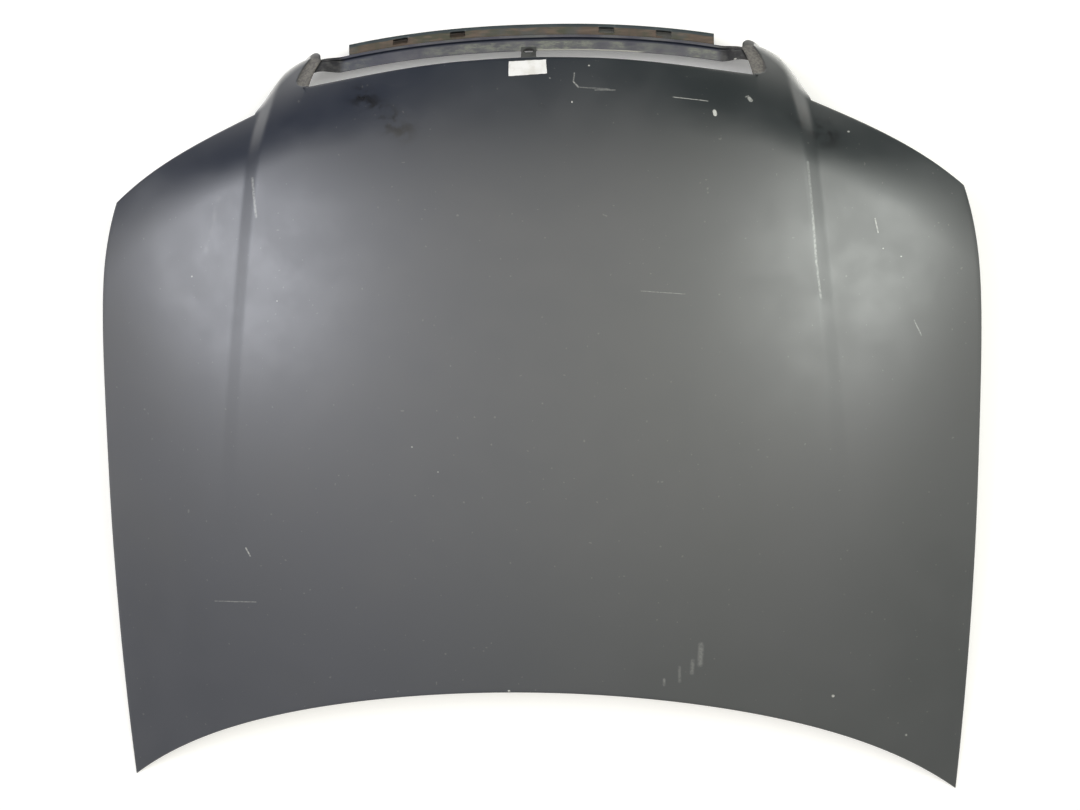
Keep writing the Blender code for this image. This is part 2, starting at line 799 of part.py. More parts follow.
def bolt(name, shank, collection, cutters, material):
    """Hexagon head below z = 0 and a shank above it."""
    head = flat_solid(name, [circle_outline(NUT_ACROSS_FLATS / math.sqrt(3.0), 6)], BOLT_HEAD, collection)
    head.data.transform(Matrix.Translation((0.0, 0.0, -BOLT_HEAD)))
    rod = flat_solid(name + "_shank", [circle_outline(BOLT_RADIUS, 12)], shank + BOLT_HEAD / 2, cutters)
    rod.data.transform(Matrix.Translation((0.0, 0.0, -BOLT_HEAD / 2)))
    make_cutter(rod, cutters)
    join = head.modifiers.new("Shank", "BOOLEAN")
    join.operation = "UNION"
    join.object = rod
    mesh = mesh_from_object(head)
    bpy.data.objects.remove(rod)
    return new_object(name, mesh, collection, material)


def build_hinge_joints(collection, steel, zinc):
    plane = hinge_plane()
    for side, side_name in ((-1, "left"), (1, "right")):
        reinforcement = plate(f"hinge_plate_{side_name}", HINGE_PLATE, hinge_bolts(), collection, steel)
        seat(reinforcement, plane, 0.0, 0.0, GAP, side)
        for (across, along), end in zip(hinge_bolts(), ("rear", "front")):
            weld_nut = nut(f"hinge_nut_{side_name}_{end}", collection, zinc)
            seat(weld_nut, plane, across, along, HINGE_PLATE[2] + 2.0 * GAP, side)


def build_lock_joint(collection, cutters, steel, zinc):
    plane = lock_plane()
    seat(plate("lock_reinforcement", LOCK_PLATE, lock_bolts(), collection, steel), plane, 0.0, 0.0, GAP)
    under = -FRAME_SHEET - GAP
    striker = plate("striker_plate", STRIKER_PLATE, lock_bolts(), collection, zinc)
    seat(striker, plane, 0.0, 0.0, under - STRIKER_PLATE[2])
    head_top = under - STRIKER_PLATE[2] - GAP
    nut_base = LOCK_PLATE[2] + 2.0 * GAP
    shank = nut_base + NUT_HEIGHT - head_top + BOLT_RADIUS / 2
    for (across, along), side_name in zip(lock_bolts(), ("left", "right")):
        seat(nut(f"lock_nut_{side_name}", collection, zinc), plane, across, along, nut_base)
        screw = bolt(f"striker_bolt_{side_name}", shank, collection, cutters, zinc)
        seat(screw, plane, across, along, head_top)
    seat(build_hoop(collection, zinc), plane, 0.0, 0.0, head_top)


def build_hoop(collection, material):
    """Wire hoop that the lock's claw closes on, hanging below z = 0."""
    radius = HOOP_WIDTH / 2
    route = [(-radius, 0.0)]
    for step in range(9):
        angle = math.pi * (1.0 + step / 8.0)
        route.append((radius * math.cos(angle), radius * math.sin(angle) - HOOP_DROP + radius))
    route.append((radius, 0.0))
    curve = bpy.data.curves.new("striker_hoop", "CURVE")
    curve.dimensions = "3D"
    curve.bevel_depth = HOOP_WIRE
    curve.bevel_resolution = 2
    curve.use_fill_caps = True
    spline = curve.splines.new("POLY")
    spline.points.add(len(route) - 1)
    for point, (x, z) in zip(spline.points, route):
        point.co = (x, 0.0, z, 1.0)
    return new_object("striker_hoop", curve, collection, material)


# Mastic pads


def build_pads(collection, material):
    count = 0
    for bay_across in BAYS_ACROSS:
        for bay_along in BAYS_ALONG:
            front = skin_point(f"{bay_across}_middle", f"{bay_along}_front")
            along = front - skin_point(f"{bay_across}_middle", f"{bay_along}_middle")
            across = skin_point(f"{bay_across}_outer", f"{bay_along}_front")
            across -= skin_point(f"{bay_across}_inner", f"{bay_along}_front")
            normal = across.cross(along).normalized()
            depth = LAND_DEPTH * normal.z - SKIN_SHEET - 2.0 * PAD_GAP
            surface = (front - along.normalized() * PAD_INSET, normal)
            for side in (-1, 1):
                count += 1
                bm = bmesh.new()
                bmesh.ops.create_cone(bm, cap_ends=True, segments=10, radius1=PAD_RADIUS,
                                      radius2=PAD_TOP_RADIUS, depth=depth)
                mesh = mesh_from(bm, f"mastic_pad_{count:02d}")
                pad = new_object(f"mastic_pad_{count:02d}", mesh, collection, material)
                seat(pad, surface, 0.0, 0.0, -SKIN_SHEET - PAD_GAP - depth / 2, side)


# Nose bar, closing plate, trim carrier and strut


def bar_marks():
    """Distances ahead of the nose line: face front, groove front, edge front and wall foot."""
    groove_front = BAR_FACE + GROOVE_WIDTH
    edge_front = groove_front + BAR_SLANT + BAR_EDGE
    return BAR_FACE, groove_front, edge_front, edge_front + 2.0 * BAR_SLANT


def bar_section(x):
    """Upper side of the nose bar from its rear lip to its lower flange, as (distance ahead, height)."""
    face_front, groove_front, edge_front, wall_foot = bar_marks()
    front_height = BAR_TOP - BAR_FACE_FALL
    groove_height = front_height - GROOVE_DEPTH
    flange = BAR_FLANGE if x <= CARRIER_HALF else BAR_FLANGE_STUB
    section = [(0.0, BAR_TOP), (face_front / 2, face_height(face_front / 2)), (face_front, front_height),
               (face_front + BAR_SLANT, groove_height), (groove_front, groove_height),
               (groove_front + BAR_SLANT, front_height), (edge_front, front_height - BAR_SLANT)]
    rise = ease((x - BAR_END_START) / BAR_END_RISE)
    section = [(ahead, between(height, under_horn(x, nose_line(x) + ahead), rise))
               for ahead, height in section]
    fall = FLANGE_FALL * flange / BAR_FLANGE
    return section + [(wall_foot, FLANGE_TOP), (wall_foot + flange, FLANGE_TOP - fall)]


def face_height(ahead):
    """Height of the rear half of the bar's face, which falls less than its front half."""
    return BAR_TOP - BAR_FACE_FALL * FACE_REAR_SHARE * ahead / (BAR_FACE / 2)


def under_horn(x, y):
    """Where the bar's end seats, below the folded edge of the horn's rebate."""
    return skin_height(x, y) - REBATE_DEPTH - hem_thickness() - BAR_SEAT


def stations(half, cells):
    return [half * step / cells for step in range(cells + 1)]


def sweep(bm, section_at, places):
    """Carry a section along one half of the nose bar."""
    points = len(section_at(0.0))

    def place(x, index):
        ahead, height = section_at(x)[index]
        return Vector((x, nose_line(x) + ahead, height))
    mapped_grid(bm, places, list(range(points)), place)
    bmesh.ops.remove_doubles(bm, verts=bm.verts, dist=0.00002)


def face_outward(bm, outside):
    """Turn the faces of an open sheet so that one near the point outside faces it."""
    bmesh.ops.recalc_face_normals(bm, faces=bm.faces)
    nearest = min(bm.faces, key=lambda face: (face.calc_center_median() - outside).length)
    if nearest.normal.dot(outside - nearest.calc_center_median()) < 0.0:
        bmesh.ops.reverse_faces(bm, faces=bm.faces)


def build_bar(collection, material):
    bm = bmesh.new()
    ends = [BAR_END_START + reach for reach in stations(BAR_HALF - BAR_END_START, BAR_END_CELLS)]
    places = stations(CARRIER_HALF, BAR_CELLS) + [CARRIER_HALF + CARRIER_SHEET] + ends
    sweep(bm, bar_section, places)
    face_outward(bm, Vector((0.0, NOSE_Y + BAR_FACE / 2, 1.0)))
    bar = new_object("nose_bar", mesh_from(bm, "nose_bar"), collection, material)
    mirror_and_thicken(bar, BAR_SHEET)
    return bar


def closing_section(x):
    """Outer side of the closing plate, from its lip under the bar's face round to its front lip."""
    wall_top, wall_foot = CLOSING_WALL
    lip_front = BAR_FACE / 2 - BAR_SLANT / 2
    under = BAR_SHEET + GAP
    flange_slope = FLANGE_FALL / BAR_FLANGE
    foot = bar_marks()[3] + 2.0 * BAR_SHEET
    below = 2.0 * BAR_SHEET + 2.0 * GAP
    flange_under = FLANGE_TOP - flange_slope * (foot - bar_marks()[3]) - below
    return [(lip_front, face_height(lip_front) - under), (wall_top, face_height(wall_top) - under),
            (wall_foot, 0.0), (CLOSING_FLOOR, 0.0), (foot, flange_under),
            (foot + CLOSING_LIP, flange_under - flange_slope * CLOSING_LIP)]


def build_closing_plate(collection, material):
    bm = bmesh.new()
    sweep(bm, closing_section, stations(CARRIER_HALF, BAR_CELLS))
    face_outward(bm, Vector((0.0, NOSE_Y + CLOSING_FLOOR / 2, -1.0)))
    closing = new_object("nose_bar_closing", mesh_from(bm, "nose_bar_closing"), collection, material)
    mirror_and_thicken(closing, BAR_SHEET)
    return closing


def carrier_section(x):
    """Outer side of the trim carrier: rear leg, top and front leg, open below."""
    rear = bar_marks()[3] + BAR_SHEET
    front = rear + CARRIER_WIDTH

    def flange_height(ahead):
        return FLANGE_TOP - FLANGE_FALL * (ahead - bar_marks()[3]) / BAR_FLANGE + GAP
    return [(rear, flange_height(rear)), (rear, CARRIER_TOP), (rear + CARRIER_WIDTH / 2, CARRIER_TOP),
            (front, CARRIER_TOP - BAR_SLANT), (front, flange_height(front - CARRIER_SHEET))]


def build_carrier(collection, cutters, material):
    bm = bmesh.new()
    sweep(bm, carrier_section, stations(CARRIER_HALF, BAR_CELLS))
    middle = bar_marks()[3] + BAR_SHEET + CARRIER_WIDTH / 2
    face_outward(bm, Vector((0.0, NOSE_Y + middle, 1.0)))
    carrier = new_object("trim_carrier", mesh_from(bm, "trim_carrier"), collection, material)
    mirror_and_thicken(carrier, CARRIER_SHEET)
    windows = bmesh.new()
    for x in WINDOW_PLACES:
        window = flat_solid("window", [rectangle(WINDOW_LENGTH, WINDOW_WIDTH)], CUT_DEPTH, cutters)
        rise = nose_line(x + WINDOW_LENGTH / 2) - nose_line(x - WINDOW_LENGTH / 2)
        turn = Matrix.Rotation(math.atan2(rise, WINDOW_LENGTH), 4, "Z")
        place = Matrix.Translation((x, nose_line(x) + middle, CARRIER_TOP - CUT_DEPTH / 2))
        window.data.transform(place @ turn)
        windows.from_mesh(window.data)
        bpy.data.objects.remove(window)
    cutter = new_object("carrier_windows", mesh_from(windows, "carrier_windows"), cutters)
    cut(carrier, make_cutter(cutter, cutters))
    return carrier


def strut_route():
    """Upper side of the strut along the centre, from its tab under the channel to its foot on the bar."""
    plane = lock_plane()
    channel_front = crossing(COLUMNS["centre"], ROWS["front_channel_front"])[1] - BAR_SLANT
    below = (FRAME_SHEET + GAP) / plane[1].z
    tab = [(y, height_on(plane, 0.0, y) - below) for y in (channel_front - STRUT_TAB, channel_front)]
    rise = GAP + STRUT_SHEET
    foot = [(NOSE_Y + ahead, face_height(ahead) + rise) for ahead in (-BAR_SLANT, STRUT_FOOT)]
    bends = (STRUT_BEND, 1.0 - STRUT_BEND)
    span = [[between(a, b, share) for a, b in zip(tab[1], foot[0])] for share in bends]
    return tab + span + foot


def build_strut(collection, cutters, material):
    route = strut_route()
    bm = bmesh.new()

    def place(x, index):
        return Vector((x, *route[index]))
    mapped_grid(bm, [0.0, STRUT_WIDTH / 2], list(range(len(route))), place)
    face_outward(bm, Vector((0.0, NOSE_Y, 1.0)))
    along = Vector((0.0, *route[3])) - Vector((0.0, *route[2]))
    down = Vector((0.0, along.z, -along.y)).normalized() * STRUT_SIDE
    wanted = {round(route[2][0], 6), round(route[3][0], 6)}
    sides = [edge for edge in bm.edges
             if {round(vert.co.y, 6) for vert in edge.verts} == wanted
             and all(vert.co.x > 0.0001 for vert in edge.verts)]
    made = bmesh.ops.extrude_edge_only(bm, edges=sides)["geom"]
    bmesh.ops.translate(bm, verts=[item for item in made if isinstance(item, bmesh.types.BMVert)], vec=down)
    face_outward(bm, Vector((0.0, NOSE_Y, 1.0)))
    strut = new_object("centre_strut", mesh_from(bm, "centre_strut"), collection, material)
    mirror_and_thicken(strut, STRUT_SHEET)
    slot = rounded_outline(rectangle(*STRUT_SLOT), STRUT_SLOT_CORNER, 4)
    hole = flat_solid("strut_slot", [slot], CUT_DEPTH, cutters)
    hole.location = (0.0, NOSE_Y - BAR_SLANT, BAR_TOP - CUT_DEPTH / 2)
    cut(strut, make_cutter(hole, cutters))
    return strut


def put_origin_under_centre(parts, cutters):
    """Move the whole bonnet so that the origin is below its middle, on the floor."""
    bpy.context.view_layer.update()
    graph = bpy.context.evaluated_depsgraph_get()
    corners = []
    for obj in parts.objects:
        shape = obj.evaluated_get(graph)
        corners += [shape.matrix_world @ vert.co for vert in shape.to_mesh().vertices]
        shape.to_mesh_clear()
    low_y = min(corner.y for corner in corners)
    high_y = max(corner.y for corner in corners)
    base = bpy.data.objects.new("car_bonnet", None)
    base.location = (0.0, -(low_y + high_y) / 2, -min(corner.z for corner in corners))
    for obj in [*parts.objects, *cutters.objects]:
        obj.parent = base
    parts.objects.link(base)


def build_model():
    for obj in list(bpy.data.objects):
        bpy.data.objects.remove(obj)
    parts = new_collection("car_bonnet")
    cutters = new_collection("cutters")
    paint = new_material("grey_paint", (0.10, 0.105, 0.115), 0.35, 0.2)
    primer = new_material("frame_paint", (0.07, 0.074, 0.082), 0.5, 0.1)
    dark = new_material("bar_paint", (0.03, 0.033, 0.045), 0.45)
    plastic = new_material("carrier_plastic", (0.11, 0.09, 0.065), 0.7)
    black = new_material("strut_paint", (0.012, 0.012, 0.014), 0.5)
    zinc = new_material("zinc_plate", (0.55, 0.53, 0.48), 0.35, 0.9)
    mastic = new_material("mastic", (0.05, 0.05, 0.05), 0.8)
    build_skin(parts, paint)
    build_frame(parts, cutters, primer)
    build_hinge_joints(parts, primer, zinc)
    build_lock_joint(parts, cutters, primer, zinc)
    build_pads(parts, mastic)
    build_bar(parts, dark)
    build_closing_plate(parts, dark)
    build_carrier(parts, cutters, plastic)
    build_strut(parts, cutters, black)
    put_origin_under_centre(parts, cutters)
    return parts


build_model()
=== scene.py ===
"""Looks of the car bonnet: a fine painted skin, nose bar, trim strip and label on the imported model.

Metres. The bonnet lies with its outer side up. The shape formulas count Y from the rear corners
towards the nose, and mesh_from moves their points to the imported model's place.
"""

import math

import bmesh
import bpy
from mathutils import Matrix, Vector, noise


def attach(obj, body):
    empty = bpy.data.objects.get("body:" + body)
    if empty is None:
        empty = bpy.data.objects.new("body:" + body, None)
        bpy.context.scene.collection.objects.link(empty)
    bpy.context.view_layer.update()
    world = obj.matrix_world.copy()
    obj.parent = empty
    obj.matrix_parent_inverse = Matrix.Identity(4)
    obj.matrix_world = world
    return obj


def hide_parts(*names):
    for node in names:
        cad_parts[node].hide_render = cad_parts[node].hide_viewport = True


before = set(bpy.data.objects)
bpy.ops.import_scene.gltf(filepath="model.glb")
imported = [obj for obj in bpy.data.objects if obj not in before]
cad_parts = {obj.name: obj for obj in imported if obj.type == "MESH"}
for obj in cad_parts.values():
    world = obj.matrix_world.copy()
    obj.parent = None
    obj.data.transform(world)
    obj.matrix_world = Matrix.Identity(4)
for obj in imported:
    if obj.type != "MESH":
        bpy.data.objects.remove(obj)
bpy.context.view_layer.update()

# From the rear corners to the middle of the length
REAR_SHIFT = 0.63207

# Sheets
SKIN_SHEET = 0.0008
FRAME_SHEET = 0.0007
BAR_SHEET = 0.0010
HEM_GAP = 0.0006
HEM_RETURN = 0.007

# Plan outline
HALF_WIDTH = 0.7085
WIDEST_Y = 0.575
CORNER_X = 0.680
CORNER_Y = 0.970
CORNER_BEND = 4.0
FOOT_X = 0.692
FOOT_BEND = 2.2
REAR_SWEEP = 0.179
REAR_BOW = 0.7
REAR_CURL = 0.3
LEADING_Y = 1.1755
OPENING_HALF = 0.3575
OPENING_SWEEP = 0.0295
OPENING_BEND = 1.65
NOTCH_X = 0.445
NOTCH_Y = 1.108
CUT_BULGE = 0.0076
CUT_LEAN = 0.4

# Heights of the outer surface
CROWN = 0.136
CROWN_Y = 0.81
CROWN_BACK = 0.3655
REAR_DROP = 0.0702
NOSE_DROP = 0.0306
NOSE_BEND = 2.7
SIDE_RISE = 0.082
SIDE_ARCH = 0.006
FLAT_SHARE = 0.45
ROLL_REACH = 0.120
ROLL_START = 0.10
ROLL_SPAN = 0.30
ROLL_AT_NOTCH = 0.022
ROLL_AT_CORNER = 0.008

# Creases that run together towards the nose
CREASE_X = 0.409
CREASE_Y = 1.135
CREASE_REAR_X = 0.5168
CREASE_BAND = 0.029
CREASE_ROUNDING = 0.2
CREASE_DROP = 0.0058
CREASE_START = 0.420
HORN_CREASE_DROP = 0.0045
HORN_CREASE_START = 1.000
HORN_CREASE_RUN = 0.120

# Horns beside the grille opening
HORN_TIP = (0.3640, 1.2050)
HORN_TIP_RADIUS = 0.0170
HORN_TIP_REACH = 0.0185
HORN_TIP_ANGLES = (150.0, 30.0)
HORN_CROWDING = 0.35
HORN_INNER_BOW = (0.3560, 1.1800)
HORN_OUTER_LEAD = (0.4470, 1.1370)
HORN_OUTER_BOW = (0.4150, 1.2040)
HORN_ROLL = 0.0100
HORN_ROLL_WIDTH = 0.0200
HORN_ROLL_START = 2.5
# Width of the pale band along the horn's outer edge: partly rubbed paint, partly a painted highlight
HORN_RUB_AND_HIGHLIGHT_WIDTH = 0.032
REBATE_WIDTH = 0.0215
REBATE_DEPTH = 0.0040
REBATE_STEP = 0.0040
REBATE_TAPER = 0.5
REBATE_EDGE = ((0.356, 1.223), (0.366, 1.207), (0.3735, 1.190), (0.3775, 1.173), (0.3780, 1.161),
               (0.3745, 1.1535), (0.3665, 1.1495), (0.355, 1.1485))
REBATE_INNER_X = 0.30
REBATE_WALL = 0.0026

# Cells of the painted skin, from the centre out and from the rear forward
OPENING_CELLS = 40
REBATE_CELLS = 26
BROW_CELLS = 7
CREASE_CELLS = 9
NOTCH_CELLS = 2
CUT_CELLS = 34
SKIN_CELLS = 104
ROW_CROWDING = 0.55
HORN_CELLS = 46
HORN_TIP_CELLS = 6

# A vertex nearer to the middle plane than this lies on it
ON_CENTRE = 0.0001

# Nose bar and the trim carrier
NOSE_Y = 1.2155
NOSE_SWEEP = 0.03535
NOSE_CURVE = 2.2
BAR_HALF = 0.362
BAR_TOP = 0.0385
BAR_FACE = 0.0175
BAR_FACE_FALL = 0.0020
FACE_REAR_SHARE = 0.35
FACE_CELLS = 8
BAR_SLANT = 0.0010
GROOVE_WIDTH = 0.0040
GROOVE_DEPTH = 0.0050
BAR_EDGE = 0.0045
BAR_ROUNDING = 0.0006
BAR_FLANGE = 0.0225
BAR_FLANGE_STUB = 0.0015
FLANGE_TOP = 0.0140
FLANGE_FALL = 0.0035
BAR_END_START = 0.312
BAR_END_RISE = 0.036
BAR_SEAT = 0.0008
BAR_STEP = 0.004
BAR_STEPS = 75
LUMP_RISE = 0.00025
LUMP_SINK = 0.00005
CARRIER_HALF = 0.304
CARRIER_WIDTH = 0.0205
CARRIER_SHEET = 0.0020
CARRIER_TOP = 0.0250
CARRIER_GAP = 0.0003
CARRIER_DENT = 0.0004
WINDOW_LENGTH = 0.0250
WINDOW_WIDTH = 0.0090
WINDOW_CLEARANCE = 0.0012
WINDOW_PLACES = (-0.2165, -0.1200, 0.1280, 0.2220)
WALL_FOOT = BAR_FACE + GROOVE_WIDTH + BAR_EDGE + 3.0 * BAR_SLANT

# Roundings of the carrier's edges, as (distance in from the edge, distance below the top)
CARRIER_REAR_EDGE = ((0.0, 0.0008), (0.0003, 0.0002), (0.0010, 0.0))
CARRIER_FRONT_EDGE = ((0.0014, 0.0002), (0.0004, 0.0007), (0.0, 0.0018))
CARRIER_MARGIN = 0.0070

# Points of the carrier's section that have shallow dents, on each side of the windows
CARRIER_DENTED = (3, 8)

# Near-black sheet inside the strut, painted shade for its pocket: its ends back from the nose line,
# its heights and half its width
STRUT_FLOOR_REAR = 0.016
STRUT_FLOOR_FRONT = 0.0006
STRUT_FLOOR_TOP = 0.0450
STRUT_FLOOR_SUNK = 0.0045
STRUT_FLOOR_HALF = 0.0112
STRUT_FLOOR_SHEET = 0.0010

# Bare paper label behind the leading edge
LABEL_CORNERS = ((-0.0275, 1.1446), (0.0328, 1.1474), (0.0311, 1.1713), (-0.0273, 1.1699))
LABEL_SHEET = 0.00018
LABEL_LIFT = 0.00022
LABEL_CREASE = 0.00012
LABEL_CURL = 0.0008
LABEL_RAGGED = 0.0006

# Camera over the outer side, at the photograph's viewing angle
CAMERA_PLACE = (0.086, -0.0005, 1.3709)
CAMERA_TURN = (0.0, 3.07, -0.38)
FOCAL_PIXELS = 811.0
PICTURE_WIDTH = 1080.0
SENSOR_WIDTH = 36.0


def ease(value):
    """A smooth ramp from 0 to 1 as value goes from 0 to 1."""
    value = min(max(value, 0.0), 1.0)
    return value * value * (3.0 - 2.0 * value)


def between(start, end, share):
    return start + (end - start) * share


def steps(count):
    return [index / count for index in range(count + 1)]


# Shape of the outer surface


def side_edge(y):
    if y < WIDEST_Y:
        reach = max(WIDEST_Y - y, 0.0) / WIDEST_Y
        return HALF_WIDTH - (HALF_WIDTH - FOOT_X) * reach ** FOOT_BEND
    reach = (y - WIDEST_Y) / (CORNER_Y - WIDEST_Y)
    return HALF_WIDTH - (HALF_WIDTH - CORNER_X) * reach ** CORNER_BEND


def rear_edge(x):
    reach = min(abs(x) / FOOT_X, 1.2)
    return REAR_SWEEP * (1.0 - REAR_BOW * reach ** 2 - REAR_CURL * reach ** 5)


def front_edge(x):
    x = abs(x)
    corner_y = LEADING_Y - OPENING_SWEEP
    if x <= OPENING_HALF:
        return LEADING_Y - OPENING_SWEEP * (x / OPENING_HALF) ** OPENING_BEND
    if x <= NOTCH_X:
        return between(corner_y, NOTCH_Y, (x - OPENING_HALF) / (NOTCH_X - OPENING_HALF))
    share = (x - NOTCH_X) / (CORNER_X - NOTCH_X)
    bulge = CUT_BULGE * (1.0 + CUT_LEAN * share)
    return between(NOTCH_Y, CORNER_Y, share) + bulge * 4.0 * share * (1.0 - share)


def crease_line(y):
    return between(CREASE_REAR_X, CREASE_X, y / CREASE_Y)


def hem_thickness():
    return 2.0 * SKIN_SHEET + FRAME_SHEET + 2.0 * HEM_GAP


def centre_height(y):
    if y < CROWN_Y:
        return CROWN - REAR_DROP * ((CROWN_Y - y) / CROWN_Y) ** 2
    return CROWN - NOSE_DROP * ((y - CROWN_Y) / CROWN_BACK) ** NOSE_BEND


def side_height(y):
    share = y / CORNER_Y
    return hem_thickness() + SIDE_RISE * share + SIDE_ARCH * 4.0 * share * (1.0 - share)


def skin_height(x, y):
    x = abs(x)
    reach = x / side_edge(y)
    fall = FLAT_SHARE * reach ** 2 + (1.0 - FLAT_SHARE) * reach ** 4
    height = between(centre_height(y), side_height(y), fall)
    roll = ROLL_AT_NOTCH * ease((x - ROLL_START) / ROLL_SPAN)
    roll -= (ROLL_AT_NOTCH - ROLL_AT_CORNER) * ease((x - NOTCH_X) / (CORNER_X - NOTCH_X))
    before_edge = front_edge(x) - y
    if before_edge < ROLL_REACH:
        height -= roll * (1.0 - before_edge / ROLL_REACH) ** 2
    return height - crease_drop(y) * flank((x - crease_line(y)) / CREASE_BAND)


def crease_drop(y):
    """Depth of the crease's step, which grows towards the nose and again beside the horn."""
    drop = CREASE_DROP * max(y - CREASE_START, 0.0) / (LEADING_Y - CREASE_START)
    return drop + HORN_CREASE_DROP * ease((y - HORN_CREASE_START) / HORN_CREASE_RUN)


def flank(share):
    """A straight ramp from 0 to 1 with a rounding at each end."""
    share = min(max(share, 0.0), 1.0)
    if share > 0.5:
        return 1.0 - flank(1.0 - share)
    steepness = 1.0 / (1.0 - CREASE_ROUNDING)
    if share < CREASE_ROUNDING:
        return steepness * share ** 2 / (2.0 * CREASE_ROUNDING)
    return steepness * (share - CREASE_ROUNDING / 2)


def on_skin(x, y, sunk=0.0):
    return Vector((x, y, skin_height(x, y) - sunk))


def crossing(column, share):
    """Plan point where a column meets the row at a share of the way from rear to front."""
    crease_share, side_share, across = column
    y = between(0.2, 1.0, share)
    for _ in range(30):
        x = crease_share * crease_line(y) + side_share * side_edge(y) + across
        y = between(rear_edge(x), front_edge(x), share)
    return x, y


# Making objects


def new_object(name, mesh, *materials):
    obj = bpy.data.objects.new(name, mesh)
    bpy.context.scene.collection.objects.link(obj)
    mesh.materials.clear()
    for material in materials:
        mesh.materials.append(material)
    return obj


def mesh_from(bm, name, smooth_angle=35.0):
    mesh = bpy.data.meshes.new(name)
    bm.to_mesh(mesh)
    bm.free()
    mesh.transform(Matrix.Translation((0.0, -REAR_SHIFT, 0.0)))
    mesh.shade_smooth()
    mesh.set_sharp_from_angle(angle=math.radians(smooth_angle))
    return mesh


def loft(bm, rows, marks=None):
    """Join rows of points into one open sheet; marks holds a value for each point's attribute."""
    layer = bm.verts.layers.float.get("mark") or bm.verts.layers.float.new("mark")
    verts = []
    for index, row in enumerate(rows):
        line = [bm.verts.new(point) for point in row]
        for place, vert in enumerate(line):
            vert[layer] = marks[index][place] if marks else 0.0
        verts.append(line)
    for low, high in zip(verts, verts[1:]):
        for index in range(len(low) - 1):
            bm.faces.new((low[index], low[index + 1], high[index + 1], high[index]))


def thicken(obj, sheet, even=True):
    """Give an open sheet its thickness, on the side away from its normals."""
    solidify = obj.modifiers.new("Sheet", "SOLIDIFY")
    solidify.thickness = sheet
    solidify.offset = -1.0
    solidify.use_even_offset = even
    return solidify


def mirror_and_thicken(obj, sheet):
    mirror = obj.modifiers.new("Other half", "MIRROR")
    mirror.merge_threshold = 0.00005
    thicken(obj, sheet).material_offset = min(len(obj.data.materials), 2) - 1


def open_edges(bm):
    return [edge for edge in bm.edges
            if edge.is_boundary and max(abs(vert.co.x) for vert in edge.verts) > ON_CENTRE]


def outward_directions(edges):
    """Plan direction away from the sheet at each vertex of its outline, mitred at corners."""
    normals = {}
    for edge in edges:
        start, end = (vert.co for vert in edge.verts)
        normal = Vector((end.y - start.y, start.x - end.x, 0.0)).normalized()
        away = (start + end) / 2 - edge.link_faces[0].calc_center_median()
        if normal.dot(away) < 0.0:
            normal.negate()
        for vert in edge.verts:
            normals.setdefault(vert, []).append(normal)
    directions = {}
    for vert, found in normals.items():
        if len(found) == 1:
            found.append(Vector((-found[0].x, found[0].y, 0.0)))
        directions[vert] = (found[0] + found[1]) / (1.0 + found[0].dot(found[1]))
    return directions


def fold_hem(bm):
    """Fold the outline over in a half round and run it back under the sheet."""
    edges = open_edges(bm)
    bm.normal_update()
    outward, upward = {}, {}
    for vert, direction in outward_directions(edges).items():
        normal = vert.normal.copy()
        if abs(vert.co.x) < ON_CENTRE:
            normal.x = 0.0
        normal.normalize()
        upward[vert] = normal
        outward[vert] = direction - normal * direction.dot(normal)
    base = {vert: vert.co.copy() for vert in outward}
    radius = hem_thickness() / 2
    for angle in (30, 60, 90, 120, 150, 180, None):
        made = bmesh.ops.extrude_edge_only(bm, edges=edges)["geom"]
        edges = [item for item in made if isinstance(item, bmesh.types.BMEdge)]
        fresh = {item for item in made if isinstance(item, bmesh.types.BMVert)}
        for vert in fresh:
            old = next(edge.other_vert(vert) for edge in vert.link_edges
                       if edge.other_vert(vert) not in fresh)
            start, direction, normal = base[old], outward[old], upward[old]
            if angle is None:
                vert.co = start - direction * HEM_RETURN - normal * 2.0 * radius
            else:
                turn = math.radians(angle)
                vert.co = (start + direction * radius * math.sin(turn)
                           - normal * radius * (1.0 - math.cos(turn)))
            base[vert], outward[vert], upward[vert] = start, direction, normal
        edges = [edge for edge in edges if all(vert in fresh for vert in edge.verts)]


# Shader building


def opaque(value):
    """A color with its alpha; a socket or a number stays as it is."""
    return (*value, 1.0) if isinstance(value, tuple) else value


